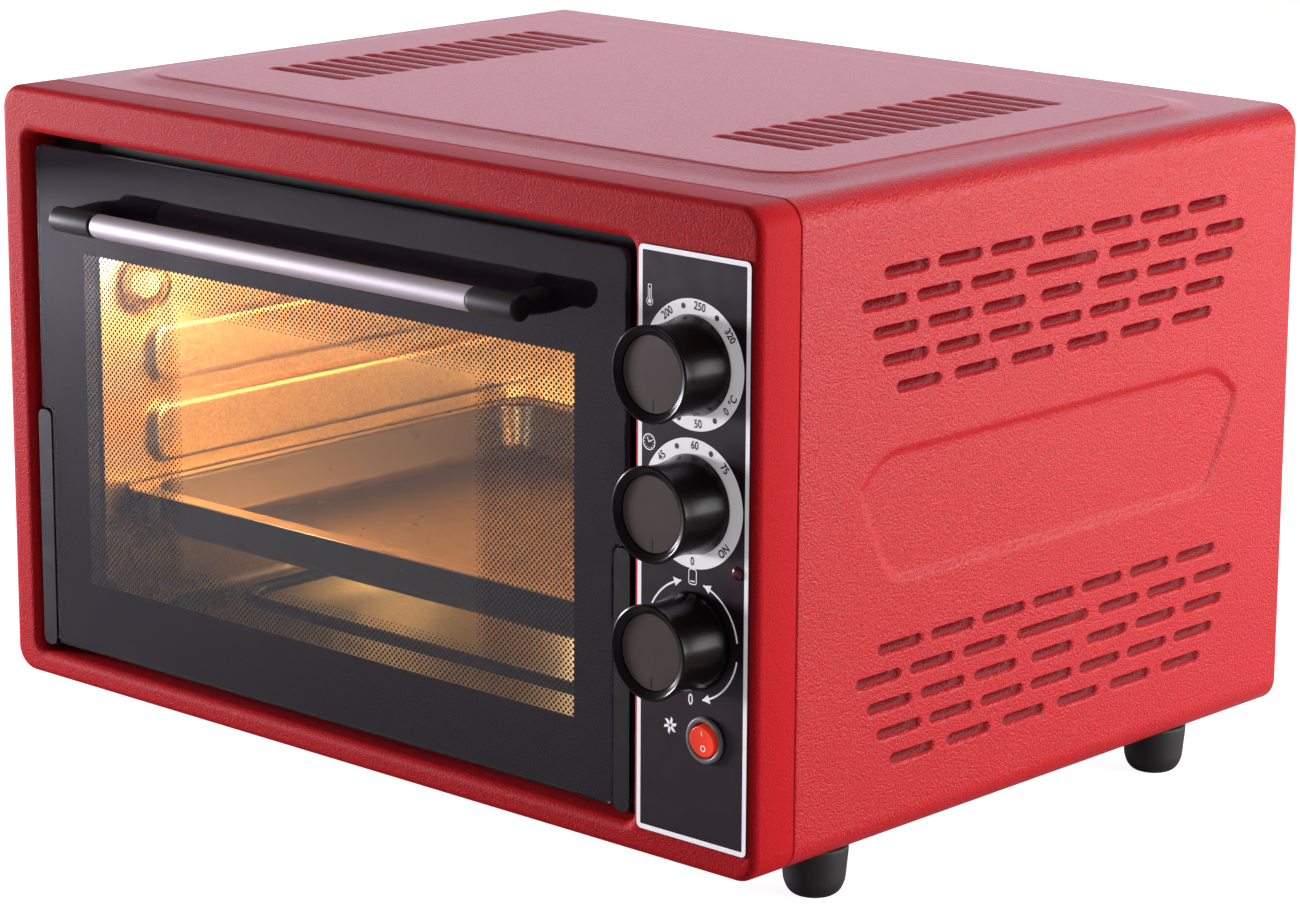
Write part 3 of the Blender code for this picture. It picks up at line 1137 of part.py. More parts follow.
# Handle: aluminium tube between two black ends that stand on the glass.
tube_half = HANDLE_TUBE_LENGTH / 2
bore = HANDLE_RADIUS - HANDLE_WALL
tube_profile = [(bore, tube_half), (HANDLE_RADIUS, tube_half), (HANDLE_RADIUS, -tube_half), (bore, -tube_half)]
handle_tube = turned("handle_tube", tube_profile, (DOOR_MID_X, HANDLE_Y, HANDLE_Z), RIGHT, ROUND_STEPS, closed=True)
finish(handle_tube, ALUMINIUM, door_axis)
for side_name, side, facing in (("left", -1, LEFT), ("right", 1, RIGHT)):
    end_profile = [
        (0, HANDLE_SPAN / 2),
        (HANDLE_END_RADIUS - HANDLE_END_ROUND, HANDLE_SPAN / 2),
        (HANDLE_END_RADIUS, HANDLE_SPAN / 2 - HANDLE_END_ROUND),
        (HANDLE_END_RADIUS, tube_half + GAP),
        (0, tube_half + GAP),
    ]
    end = turned("handle_end_" + side_name, end_profile, (DOOR_MID_X, HANDLE_Y, HANDLE_Z), facing)
    post_x = DOOR_MID_X + side * POST_OFFSET
    post_outline = rounded(
        (post_x - POST_WIDTH / 2, HANDLE_Z - POST_HEIGHT / 2), (post_x + POST_WIDTH / 2, HANDLE_Z + POST_HEIGHT / 2), POST_CORNER, SMALL_STEPS
    )
    fuse(end, slab("handle_post_" + side_name, [post_outline], "Y", HANDLE_Y, GLASS_Y[0] - GAP))
    bite_y = GLASS_Y[0] - HANDLE_SCREW_BITE - GAP
    bite_loop = [circle((post_x, HANDLE_Z), HANDLE_SCREW_RADIUS + GAP)]
    cut(end, slab("handle_screw_bite_" + side_name, bite_loop, "Y", bite_y, GLASS_Y[0] + OVERRUN))
    finish(end, BLACK_PLASTIC, door_axis)
    head = -GAP - HANDLE_SCREW_HEAD_HEIGHT
    screw_profile = [
        (0, land_y - bite_y - GAP),
        (HANDLE_SCREW_RADIUS, land_y - bite_y - GAP),
        (HANDLE_SCREW_RADIUS, -GAP),
        (HANDLE_SCREW_HEAD_RADIUS, -GAP),
        (HANDLE_SCREW_HEAD_RADIUS, head * 0.7),
        (HANDLE_SCREW_HEAD_RADIUS * 0.7, head),
        (0, head),
    ]
    screw = turned("handle_screw_" + side_name, screw_profile, (post_x, land_y, HANDLE_Z), FRONT, SMALL_ROUND_STEPS)
    finish(screw, STEEL, door_axis)

# Hinge arms, pins and brackets. Positive side is the right one.
for side_name, side in (("left", -1), ("right", 1)):
    outer = ARM_OUTER if side < 0 else mirrored(ARM_OUTER)
    inner = ARM_INNER if side < 0 else mirrored(ARM_INNER)
    low_x, high_x = min(outer, inner), max(outer, inner)
    strip = rounded((low_x, ARM_Z[0]), (high_x, ARM_Z[1]), ARM_CORNER, SMALL_STEPS)
    arm = slab("hinge_arm_" + side_name, [strip], "Y", GLASS_Y[0], GLASS_Y[0] + ARM_THICKNESS)
    knuckle = rounded(
        (HINGE_Y - KNUCKLE_RADIUS + GAP / 2, HINGE_Z - KNUCKLE_RADIUS),
        (HINGE_Y + KNUCKLE_RADIUS, HINGE_Z - KNUCKLE_RADIUS + KNUCKLE_HEIGHT),
        KNUCKLE_RADIUS - GAP,
        CORNER_STEPS,
    )
    fuse(arm, slab("hinge_knuckle_" + side_name, [knuckle], "X", low_x + GAP / 2, high_x - GAP / 2))
    hinge_bore = [circle((HINGE_Y, HINGE_Z), PIN_RADIUS + GAP)]
    cut(arm, slab("hinge_bore_" + side_name, hinge_bore, "X", low_x - OVERRUN, high_x + OVERRUN))
    finish(arm, BLACK_STEEL, door_axis)

    wall = OPENING_X[0] if side < 0 else OPENING_X[1]
    plate_near = wall + side * (SHEET + GAP)
    plate_far = plate_near + side * BRACKET_SHEET
    plate_y = FACE_Y + OPENING_ROLL + GAP
    plate_low = BASE_Z + BRACKET_LOW
    plate = rounded((plate_y, plate_low), (plate_y + BRACKET_DEPTH, plate_low + BRACKET_HEIGHT), BRACKET_CORNER, SMALL_STEPS)
    bracket = slab("hinge_bracket_" + side_name, [plate, hinge_bore[0]], "X", min(plate_near, plate_far), max(plate_near, plate_far))
    finish(bracket, STEEL)
    pin_length = abs(plate_far - inner)
    pin_profile = [
        (0, pin_length + GAP + PIN_HEAD_HEIGHT),
        (PIN_HEAD_RADIUS * 0.8, pin_length + GAP + PIN_HEAD_HEIGHT),
        (PIN_HEAD_RADIUS, pin_length + GAP + PIN_HEAD_HEIGHT / 2),
        (PIN_HEAD_RADIUS, pin_length + GAP),
        (PIN_RADIUS, pin_length + GAP),
        (PIN_RADIUS, GAP),
        (0, GAP),
    ]
    pin = turned("hinge_pin_" + side_name, pin_profile, (inner, HINGE_Y, HINGE_Z), RIGHT if side > 0 else LEFT, SMALL_ROUND_STEPS)
    finish(pin, STEEL)

# Control label.
label = slab("control_label", [rounded((LABEL_X[0], LABEL_Z[0]), (LABEL_X[1], LABEL_Z[1]), LABEL_CORNER, SMALL_STEPS)], "Y", FACE_Y - LABEL_FRONT, FACE_Y - GAP)
cut(label, control_holes("label_control_holes", FACE_Y - LABEL_FRONT - OVERRUN, FACE_Y + OVERRUN))
finish(label, LABEL_BLACK)


def control_body(name, z, size, depth, material):
    """Body of a switch or timer behind the bezel, bored for its shaft."""
    front = FACE_Y + BEHIND_FACE
    low = (DIAL_X - size / 2, front, z - size / 2)
    high = (DIAL_X + size / 2, front + depth, z + size / 2)
    body = block(name, low, high, CONTROL_ROUND)
    bore_loop = [circle((DIAL_X, z), SHAFT_RADIUS + GAP)]
    cut(body, slab(name + "_bore", bore_loop, "Y", front - OVERRUN, front + SHAFT_BODY_BITE))
    finish(body, material)


def dial(name, z, axis):
    """Shaft, hollow knob and face disc on one axis."""
    place = (DIAL_X, FACE_Y, z)
    cap_floor = KNOB_REACH - KNOB_CONE_DEPTH - CAP_SUNK - CAP_THICKNESS - GAP
    roof = cap_floor - KNOB_ROOF + KNOB_WALL
    bore_floor = KNOB_LIFT + SHAFT_KNOB_BITE + GAP
    waist_height = KNOB_REACH / 2
    profile = [
        (0, cap_floor),
        (CAP_RADIUS + GAP, cap_floor),
        (CAP_RADIUS + GAP, KNOB_REACH - KNOB_CONE_DEPTH),
        (KNOB_CONE_RADIUS, KNOB_REACH - KNOB_ROUND / 4),
        (KNOB_RIM_RADIUS - KNOB_ROUND, KNOB_REACH),
        (KNOB_RIM_RADIUS, KNOB_REACH - KNOB_ROUND),
        (KNOB_WAIST_RADIUS, waist_height),
        (KNOB_BASE_RADIUS, KNOB_LIFT + KNOB_ROUND),
        (KNOB_BASE_RADIUS, KNOB_LIFT),
        (KNOB_BASE_RADIUS - KNOB_WALL, KNOB_LIFT),
        (KNOB_WAIST_RADIUS - KNOB_WALL, waist_height),
        (KNOB_WAIST_RADIUS - KNOB_WALL, roof),
        (BOSS_RADIUS, roof),
        (BOSS_RADIUS, KNOB_LIFT),
        (SHAFT_RADIUS + GAP, KNOB_LIFT),
        (SHAFT_RADIUS + GAP, bore_floor),
        (0, bore_floor),
    ]
    finish(turned(name + "_knob", profile, place, FRONT), KNOB_GLOSS, axis)
    cap_profile = [(0, cap_floor + GAP + CAP_THICKNESS), (CAP_RADIUS, cap_floor + GAP + CAP_THICKNESS), (CAP_RADIUS, cap_floor + GAP), (0, cap_floor + GAP)]
    finish(turned(name + "_knob_disc", cap_profile, place, FRONT), CAP_BROWN, axis)
    shaft_end = GAP - BEHIND_FACE - SHAFT_BODY_BITE
    shaft_profile = [(0, bore_floor - GAP), (SHAFT_RADIUS, bore_floor - GAP), (SHAFT_RADIUS, shaft_end), (0, shaft_end)]
    finish(turned(name + "_shaft", shaft_profile, place, FRONT, SMALL_ROUND_STEPS), STEEL, axis)


control_body("thermostat_body", THERMOSTAT_Z, THERMOSTAT_SIZE, THERMOSTAT_DEPTH, CERAMIC)
control_body("timer_body", TIMER_Z, TIMER_SIZE, TIMER_DEPTH, STEEL)
control_body("selector_body", SELECTOR_Z, SELECTOR_SIZE, SELECTOR_DEPTH, GREY_PLASTIC)
dial("thermostat", THERMOSTAT_Z, thermostat_axis)
dial("timer", TIMER_Z, timer_axis)
dial("selector", SELECTOR_Z, selector_axis)

# Pilot light, held by a collar behind the bezel.
pilot_profile = [
    (0, PILOT_REACH),
    (PILOT_RADIUS * 0.6, PILOT_REACH * 0.93),
    (PILOT_RADIUS, PILOT_REACH * 0.6),
    (PILOT_RADIUS, -BEHIND_FACE),
    (PILOT_COLLAR_RADIUS, -BEHIND_FACE),
    (PILOT_COLLAR_RADIUS, -BEHIND_FACE - PILOT_COLLAR),
    (PILOT_RADIUS, -BEHIND_FACE - PILOT_COLLAR),
    (PILOT_RADIUS, -PILOT_DEPTH),
    (0, -PILOT_DEPTH),
]
finish(turned("pilot_light", pilot_profile, (PILOT_X, FACE_Y, PILOT_Z), FRONT, SMALL_ROUND_STEPS), RED_LENS)

# Fan switch: ring and housing, and the rocker on its trunnions.
ring_back = LABEL_FRONT + GAP
pocket_radius = SWITCH_RADIUS - SWITCH_WALL
pocket_floor = ROCKER_LIFT - ROCKER_POCKET
housing_profile = [
    (0, pocket_floor),
    (pocket_radius, pocket_floor),
    (pocket_radius, ring_back + SWITCH_RING * 0.8),
    (pocket_radius + SWITCH_WALL / 2, ring_back + SWITCH_RING),
    (SWITCH_RING_RADIUS - SWITCH_WALL / 2, ring_back + SWITCH_RING),
    (SWITCH_RING_RADIUS, ring_back + SWITCH_RING / 2),
    (SWITCH_RING_RADIUS, ring_back),
    (SWITCH_RADIUS, ring_back),
    (SWITCH_RADIUS, -SWITCH_DEPTH),
    (0, -SWITCH_DEPTH),
]
finish(turned("fan_switch_housing", housing_profile, (SWITCH_X, FACE_Y, SWITCH_Z), FRONT), GREY_PLASTIC)
rocker_profile = [
    (0, ROCKER_FRONT - ROCKER_DISH),
    (ROCKER_RADIUS * 0.7, ROCKER_FRONT - ROCKER_DISH / 2),
    (ROCKER_RADIUS - ROCKER_ROUND, ROCKER_FRONT),
    (ROCKER_RADIUS, ROCKER_FRONT - ROCKER_ROUND),
    (ROCKER_RADIUS, -ROCKER_BACK),
    (0, -ROCKER_BACK),
]
rocker_place = tuple(rocker_axis.location)
rocker = turned("fan_switch_rocker", rocker_profile, rocker_place, (pi / 2 + ROCKER_TILT, 0, 0))
trunnion_loop = [circle((rocker_place[1], rocker_place[2]), TRUNNION_RADIUS)]
trunnion_half = pocket_radius - GAP
fuse(rocker, slab("rocker_trunnions", trunnion_loop, "X", SWITCH_X - trunnion_half, SWITCH_X + trunnion_half))
finish(rocker, ROCKER_RED, rocker_axis)

# Gland in the rear panel: a flange outside, a collar inside, open through the middle.
gland_profile = [
    (GLAND_BORE_RADIUS, GAP + GLAND_FLANGE),
    (GLAND_FLANGE_RADIUS * 0.8, GAP + GLAND_FLANGE),
    (GLAND_FLANGE_RADIUS, GAP + GLAND_FLANGE / 2),
    (GLAND_FLANGE_RADIUS, GAP),
    (GLAND_NECK_RADIUS, GAP),
    (GLAND_NECK_RADIUS, -BEHIND_FACE),
    (GLAND_COLLAR_RADIUS, -BEHIND_FACE),
    (GLAND_COLLAR_RADIUS, -BEHIND_FACE - GLAND_COLLAR),
    (GLAND_BORE_RADIUS, -BEHIND_FACE - GLAND_COLLAR),
]
gland_point = (gland_place[0], REAR_FACE_Y, gland_place[1])
finish(turned("lead_gland", gland_profile, gland_point, BACK, SMALL_ROUND_STEPS, closed=True), BLACK_PLASTIC)
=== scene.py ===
"""Countertop mini oven in textured red powder coat, with a glazed drop-down door, bar handle, three dials,
pilot light and fan switch. The sections follow the oven as it is put together, from its room to its feet."""

from math import cos, pi, radians, sin, tan

import bmesh
import bpy
from mathutils import Matrix, Vector
from mathutils.geometry import tessellate_polygon


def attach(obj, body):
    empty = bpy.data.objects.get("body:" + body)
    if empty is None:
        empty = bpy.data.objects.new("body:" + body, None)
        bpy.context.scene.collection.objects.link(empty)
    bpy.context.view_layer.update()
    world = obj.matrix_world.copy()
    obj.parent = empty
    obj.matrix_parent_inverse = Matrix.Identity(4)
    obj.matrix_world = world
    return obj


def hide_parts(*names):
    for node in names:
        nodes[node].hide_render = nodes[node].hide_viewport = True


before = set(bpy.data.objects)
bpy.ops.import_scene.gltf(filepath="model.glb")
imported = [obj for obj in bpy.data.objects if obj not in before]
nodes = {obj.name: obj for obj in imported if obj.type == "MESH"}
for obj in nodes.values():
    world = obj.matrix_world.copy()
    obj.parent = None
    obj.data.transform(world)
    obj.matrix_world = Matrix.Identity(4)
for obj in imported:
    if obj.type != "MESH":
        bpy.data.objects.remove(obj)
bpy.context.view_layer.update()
MM = 0.001

# The room: a pale floor in a dim surround that only the camera sees as white. Soft boxes stand where each
# face mirrors the camera, so the faces carry a glare and the edges that face the camera stay dark.
CAMERA_PLACE = Vector((1.4972, -1.59949, 0.6756))
CAMERA_TURN, CAMERA_TILT, CAMERA_ROLL = radians(42.69), radians(13.48), radians(0.29)
CAMERA_LENS = 121.44


def linear(code):
    """Linear RGBA of an sRGB hex colour."""
    parts = [int(code[i:i + 2], 16) / 255 for i in (1, 3, 5)]
    return (*(part / 12.92 if part <= 0.04045 else ((part + 0.055) / 1.055) ** 2.4 for part in parts), 1.0)


def add(tree, kind, inputs=None, **settings):
    """Adds a node to a tree, sets it up, and gives its inputs values or other nodes' outputs."""
    node = tree.nodes.new(kind)
    for name, value in settings.items():
        setattr(node, name, value)
    for name, value in (inputs or {}).items():
        if isinstance(value, bpy.types.NodeSocket):
            tree.links.new(value, node.inputs[name])
        else:
            node.inputs[name].default_value = value
    return node


def material_of(name, colour, roughness, inputs=None):
    """A material with its constants on the shader, its node tree and its shader."""
    material = bpy.data.materials.new(name)
    material.use_nodes = True
    tree = material.node_tree
    shader = tree.nodes["Principled BSDF"]
    values = {"Base Color": linear(colour), "Roughness": roughness, **(inputs or {})}
    for socket, value in values.items():
        shader.inputs[socket].default_value = value
    return material, tree, shader


scene = bpy.context.scene
scene.view_settings.view_transform = "Standard"
look_back = Vector((sin(CAMERA_TURN) * cos(CAMERA_TILT), -cos(CAMERA_TURN) * cos(CAMERA_TILT),
                    sin(CAMERA_TILT)))
level_right = (-look_back).cross(Vector((0, 0, 1))).normalized()
level_up = level_right.cross(-look_back)
camera_right = level_right * cos(CAMERA_ROLL) + level_up * sin(CAMERA_ROLL)
camera_up = level_up * cos(CAMERA_ROLL) - level_right * sin(CAMERA_ROLL)
camera_data = bpy.data.cameras.new("camera")
camera_data.lens = CAMERA_LENS
camera_data.sensor_width = 36
camera_data.clip_end = 30
camera = bpy.data.objects.new("camera", camera_data)
camera_axes = Matrix((camera_right, camera_up, look_back)).transposed().to_4x4()
camera.matrix_world = Matrix.Translation(CAMERA_PLACE) @ camera_axes
scene.collection.objects.link(camera)
scene.camera = camera

world = bpy.data.worlds.new("white_surround")
world.use_nodes = True
scene.world = world
path = add(world.node_tree, "ShaderNodeLightPath")
surround = world.node_tree.nodes["Background"]
surround.inputs["Color"].default_value = linear("#FFFFFF")
level = add(world.node_tree, "ShaderNodeMapRange",
            {"Value": path.outputs["Is Camera Ray"], "To Min": 0.2, "To Max": 1.0})
world.node_tree.links.new(level.outputs["Result"], surround.inputs["Strength"])

floor_mesh = bpy.data.meshes.new("studio_floor")
floor_mesh.from_pydata([(-2.6, -2.6, 0), (2.6, -2.6, 0), (2.6, 2.6, 0), (-2.6, 2.6, 0)], [], [(0, 1, 2, 3)])
studio_floor = bpy.data.objects.new("studio_floor", floor_mesh)
scene.collection.objects.link(studio_floor)
floor_paint, tree, shader = material_of("white_studio_floor", "#C4C2C6", 0.7, {"Specular IOR Level": 0.1})
path = add(tree, "ShaderNodeLightPath")
lift = add(tree, "ShaderNodeMath", {0: path.outputs["Is Camera Ray"], 1: 0.9}, operation="MULTIPLY")
tree.links.new(lift.outputs[0], shader.inputs["Emission Strength"])
shader.inputs["Emission Color"].default_value = linear("#FFFFFF")
floor_mesh.materials.append(floor_paint)

SOFT_BOXES = (
    ("soft_box_right", (1.6, 1.0, 0.38), (0.2, 0.0, 0.17), (2.3, 0.9), 57, "#FFFFFF"),
    ("soft_box_front", (-1.76, -0.78, 0.2), (-0.05, -0.18, 0.18), (0.4, 0.45), 66, "#F6F4FF"),
    ("soft_box_behind", (-1.5, 1.9, 1.15), (0.0, 0.1, 0.33), (3.4, 2.2), 45, "#ECE8FC"),
    ("soft_box_top", (0.1, -0.1, 1.7), (0.0, 0.0, 0.33), (1.0, 1.0), 5, "#FFFFFF"),
)
for name, place, target, size, power, colour in SOFT_BOXES:
    lamp_data = bpy.data.lights.new(name, "AREA")
    lamp_data.shape = "RECTANGLE"
    lamp_data.size, lamp_data.size_y = size
    lamp_data.energy, lamp_data.color = power, linear(colour)[:3]
    lamp = bpy.data.objects.new(name, lamp_data)
    aim = (Vector(place) - Vector(target)).to_track_quat("Z", "Y").to_matrix().to_4x4()
    lamp.matrix_world = Matrix.Translation(place) @ aim
    lamp.visible_camera = False
    scene.collection.objects.link(lamp)

# Outer casing: one steel sheet of 1 mm wrapped over the top and both sides, with a pressed panel on top, a
# sunk panel on each side and pressed vents, sprayed with textured red powder coat and screwed to the base.
HALF_WIDTH, BASE_Z, RIM_Z = 260 * MM, 25 * MM, 336 * MM
FACE_Y, SEAM_Y, REAR_Y = -187.25 * MM, -160.25 * MM, 217.75 * MM
BODY_CORNER, SHEET = 13 * MM, 1 * MM
COLLAR = 2 * MM
MID_Z, CASE_MID_Y, PANEL_MID_Y = 180.5 * MM, 28.75 * MM, 24.75 * MM
LIP_WIDTH = 45 * MM
SEAM_ROLL = 0.9 * MM
SLOT_STEPS = 6
SLIVER_WIDTH = 0.005 * MM


def powder_coat(name, colour, valley_shade, grain, depth, roughness, shine=0.2):
    """Polyester powder coat, baked on: fused grains leave a pebbled skin and soft broken highlights, with
    painted shade in its dips.
    """
    material, tree, shader = material_of(name, colour, roughness, {"Specular IOR Level": shine})
    place = add(tree, "ShaderNodeTexCoord").outputs["Object"]
    pebbles = add(tree, "ShaderNodeTexVoronoi", {"Vector": place, "Scale": 1 / grain, "Smoothness": 1.0},
                  feature="SMOOTH_F1")
    crinkle = add(tree, "ShaderNodeTexNoise",
                  {"Vector": place, "Scale": 1.3 / grain, "Detail": 2.0, "Distortion": 0.6})
    height = add(tree, "ShaderNodeMath", {0: crinkle.outputs["Fac"], 1: pebbles.outputs["Distance"]},
                 operation="SUBTRACT")
    relief = add(tree, "ShaderNodeBump", {"Height": height.outputs[0], "Distance": depth, "Strength": 1.0})
    tree.links.new(relief.outputs["Normal"], shader.inputs["Normal"])
    # Painted shade: the relief's valleys are coloured darker, standing in for the shade that falls between
    # the grains.
    valley_shade_mask = add(tree, "ShaderNodeMapRange", {"Value": height.outputs[0], "From Min": -0.3, "From Max": 0.35})
    blend = add(tree, "ShaderNodeMix", {0: valley_shade_mask.outputs["Result"], 6: linear(valley_shade), 7: linear(colour)},
                data_type="RGBA")
    tree.links.new(blend.outputs[2], shader.inputs["Base Color"])
    return material


def rounded(low, high, radius, steps=8):
    """Outline of a rectangle with rounded corners, anticlockwise."""
    centres = ((high[0] - radius, high[1] - radius), (low[0] + radius, high[1] - radius),
               (low[0] + radius, low[1] + radius), (high[0] - radius, low[1] + radius))
    return [(u + radius * cos(pi / 2 * (quarter + i / steps)),
             v + radius * sin(pi / 2 * (quarter + i / steps)))
            for quarter, (u, v) in enumerate(centres) for i in range(steps + 1)]


def grown(u_range, v_range, growth, corner, steps=8):
    """Rounded rectangle over two ranges, grown outwards on every side."""
    return rounded((u_range[0] - growth, v_range[0] - growth), (u_range[1] + growth, v_range[1] + growth),
                   corner + growth, steps)


def circle(centre, radius, steps=48):
    return [(centre[0] + radius * cos(2 * pi * i / steps), centre[1] + radius * sin(2 * pi * i / steps))
            for i in range(steps)]


def softened(points, reach, closed=True, steps=3):
    """Corners of a run of points rounded off; reach is how far from each corner the round begins."""
    count = len(points)
    result = [] if closed else [tuple(points[0])]
    for i in range(count) if closed else range(1, count - 1):
        corner, before, after = Vector(points[i]), Vector(points[i - 1]), Vector(points[(i + 1) % count])
        start = corner + (before - corner) * min(0.45, reach / max((before - corner).length, 1e-9))
        end = corner + (after - corner) * min(0.45, reach / max((after - corner).length, 1e-9))
        for k in range(steps + 1):
            t = k / steps
            result.append(tuple(start * (1 - t) ** 2 + corner * 2 * t * (1 - t) + end * t * t))
    return result if closed else result + [tuple(points[-1])]


def inset(points, distance):
    """Convex anticlockwise outline with every edge moved inwards."""
    lines = []
    for i, point in enumerate(points):
        start, end = Vector(point), Vector(points[(i + 1) % len(points)])
        way = (end - start).normalized()
        lines.append((start + Vector((-way.y, way.x)) * distance, way))
    result = []
    for i in range(len(points)):
        (a, p), (b, q) = lines[i - 1], lines[i]
        cross = p.x * q.y - p.y * q.x
        shift = ((b - a).x * q.y - (b - a).y * q.x) / cross
        result.append(tuple(a + p * shift))
    return result


def raised(loop, height):
    return [(u, v, height) for u, v in loop]


def fill(bm, stand, loops, height=0.0):
    """Flat sheet inside the first loop and outside the others; stand puts (u, v, height) in space."""
    verts = [bm.verts.new(stand(u, v, height)) for loop in loops for u, v in loop]
    for triangle in tessellate_polygon([[Vector((u, v, 0)) for u, v in loop] for loop in loops]):
        bm.faces.new([verts[i] for i in triangle])


def skin(bm, stand, rings, closed=True):
    """Sheet over rings of (u, v, height), every ring with the same number of points."""
    rows = [[bm.verts.new(stand(*point)) for point in ring] for ring in rings]
    for near, far in zip(rows, rows[1:]):
        for i in range(len(near) if closed else len(near) - 1):
            j = (i + 1) % len(near)
            bm.faces.new((near[i], near[j], far[j], far[i])).smooth = True


def pressing(bm, stand, outline_at, height, draft, steps=6):
    """Collar, soft step and rim of a pressed panel; outline_at(growth) is its outline. Returns two loops."""
    rings = [raised(outline_at(draft / 2 + COLLAR), 0.0)]
    for i in range(steps + 1):
        t = i / steps
        rings.append(raised(outline_at(draft / 2 - draft * t), height * t * t * (3 - 2 * t)))
    rings.append(raised(outline_at(-draft / 2 - COLLAR), height))
    skin(bm, stand, rings)
    return outline_at(draft / 2 + COLLAR), outline_at(-draft / 2 - COLLAR)


def capsule(centre, length, width, growth, steps=SLOT_STEPS):
    """Outline of a slot with round ends, anticlockwise from its right end."""
    radius, reach = width / 2 + growth, (length - width) / 2
    return [(centre[0] + side * reach + radius * cos(a), centre[1] + radius * sin(a))
            for side, first in ((1, -pi / 2), (-1, pi / 2))
            for a in (first + pi * i / steps for i in range(steps + 1))]


def vent_rim(bm, stand, centre, length, width):
    """Edge of a side vent: rolled inwards along its lower side, sheared sharp along its upper side."""
    reach, rings = 2.3, []
    for growth, drop in ((reach, 0), (1.9, 0), (1.4, 0.22), (0.9, 0.6), (0.4, 1.15), (0.0, 1.8)):
        loop = capsule(centre, length, width, growth * MM)
        rings.append([(u, v, -drop * MM * min(1, max(0, 0.5 - (v - centre[1]) / width))) for u, v in loop])
    skin(bm, stand, rings)
    return capsule(centre, length, width, reach * MM)


def scoop_rim(bm, stand, centre, length, width):
    """Edge of a top vent: a broad roll behind that dips into the vent, sheared off sharp at the front."""
    rings = []
    for share, drop in ((1.0, 0), (0.9, 0), (0.72, 0.25), (0.5, 0.9), (0.25, 2.0), (0.0, 3.4)):
        ring = []
        for k, (u, v) in enumerate(capsule(centre, length, width, 0, 8)):
            angle = -pi / 2 + pi * (k % 9) / 8 + (pi if k > 8 else 0)
            growth = share * (0.9 + 4.7 * max(0, sin(angle))) * MM
            ring.append((u + growth * cos(angle), v + growth * sin(angle),
                         -drop * MM * min(1, 0.5 + 0.5 * sin(angle))))
        rings.append(ring)
    skin(bm, stand, rings)
    return [(u, v) for u, v, w in rings[0]]


def piece(name, bm, material, facing=None, wall=0.0, angle=35):
    """Turns a bmesh into a finished piece at the origin: welded, facing outwards, given a wall if asked."""
    bmesh.ops.remove_doubles(bm, verts=bm.verts, dist=2e-6)
    bmesh.ops.dissolve_degenerate(bm, edges=bm.edges, dist=1e-6)
    longest = {face: max(face.edges, key=lambda edge: edge.calc_length()) for face in bm.faces}
    thin = [edge for face, edge in longest.items() if face.calc_area() < SLIVER_WIDTH * edge.calc_length()]
    inner_thin = [edge for edge in dict.fromkeys(thin) if len(edge.link_faces) == 2]
    bmesh.ops.dissolve_edges(bm, edges=inner_thin, use_verts=False)
    bmesh.ops.recalc_face_normals(bm, faces=bm.faces)
    if facing:
        best = max(bm.faces, key=lambda face: face.calc_center_median().dot(Vector(facing)))
        if best.normal.dot(Vector(facing)) < 0:
            bmesh.ops.reverse_faces(bm, faces=bm.faces)
    mesh = bpy.data.meshes.new(name)
    bm.to_mesh(mesh)
    bm.free()
    mesh.materials.append(material)
    obj = bpy.data.objects.new(name, mesh)
    scene.collection.objects.link(obj)
    if wall:
        solid = obj.modifiers.new("sheet", "SOLIDIFY")
        solid.thickness, solid.offset = wall, -1
        settle(obj)
    shading = [face.use_smooth for face in obj.data.polygons]
    obj.data.set_sharp_from_angle(angle=radians(angle))
    obj.data.polygons.foreach_set("use_smooth", shading)
    return obj


def settle(obj):
    """Bakes an object's modifiers into its mesh."""
    mesh = bpy.data.meshes.new_from_object(obj.evaluated_get(bpy.context.evaluated_depsgraph_get()))
    obj.modifiers.clear()
    obj.data = mesh
    mesh.name = obj.name


def seat(obj, body, slot, *replaced):
    """Hands a finished piece to its body, in place of the CAD solids named; the slot for its finish is not
    used.
    """
    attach(obj, body)
    if replaced:
        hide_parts(*replaced)


coarse_coat = powder_coat("textured_red_powder_coat", "#C01A21", "#A81219", 1.1 * MM, 0.38 * MM, 0.34)
fine_coat = powder_coat("fine_red_powder_coat", "#B5171E", "#A41218", 0.9 * MM, 0.2 * MM, 0.52, 0.05)
# The vent tongues get a darker red: painted shade for the hollows inside the vents.
vent_shade_coat = powder_coat("thin_red_powder_coat", "#820A15", "#66060D", 1.2 * MM, 0.3 * MM, 0.42, 0.08)

TOP_SLOTS = [(side * 155 * MM, PANEL_MID_Y + (i - 7) * 13.45 * MM) for side in (-1, 1) for i in range(15)]
TOP_SLOT = (57 * MM, 6.2 * MM)
SIDE_SLOT, LONG_SLOT = (31 * MM, 5 * MM), (54 * MM, 5 * MM)
ROW_PLACE_SHARES = ((0, 1, 2, 3), (0, 1.37, 2.39, 3.40), (0, 1.135, 2.17, 3.19), (0, 1, 2, 3),
                    (0.55, 1.65, 2.74))
SIDE_SLOTS = []
for group in (-1, 1):
    for row, shares in enumerate(ROW_PLACE_SHARES):
        for share in shares:
            for way in (-1, 1) if share else (1,):
                size = LONG_SLOT if row == 1 and share == 0 else SIDE_SLOT
                place = (CASE_MID_Y + way * share * 38.5 * MM,
                         MID_Z + group * 88.5 * MM + (2 - row) * 13.6 * MM)
                SIDE_SLOTS.append((place, size))
SUNK_OUTLINE_SHARES = ((0.756, 0), (0.82, 0.02), (0.88, 0.148), (1.0, 0.74), (0.985, 0.80), (0.873, 1.0))
sunk_right = [(CASE_MID_Y + u * 145.5 * MM, 150 * MM + v * 61 * MM) for u, v in SUNK_OUTLINE_SHARES]
sunk_outline = sunk_right + [(2 * CASE_MID_Y - y, z) for y, z in reversed(sunk_right)]

sunk_at = lambda growth: softened(inset(sunk_outline, -growth), 9 * MM, steps=4)
SUNK_DEPTH = 1.8 * MM

casing = bmesh.new()
side_low, side_high = BASE_Z + BODY_CORNER + COLLAR, RIM_Z - BODY_CORNER - COLLAR


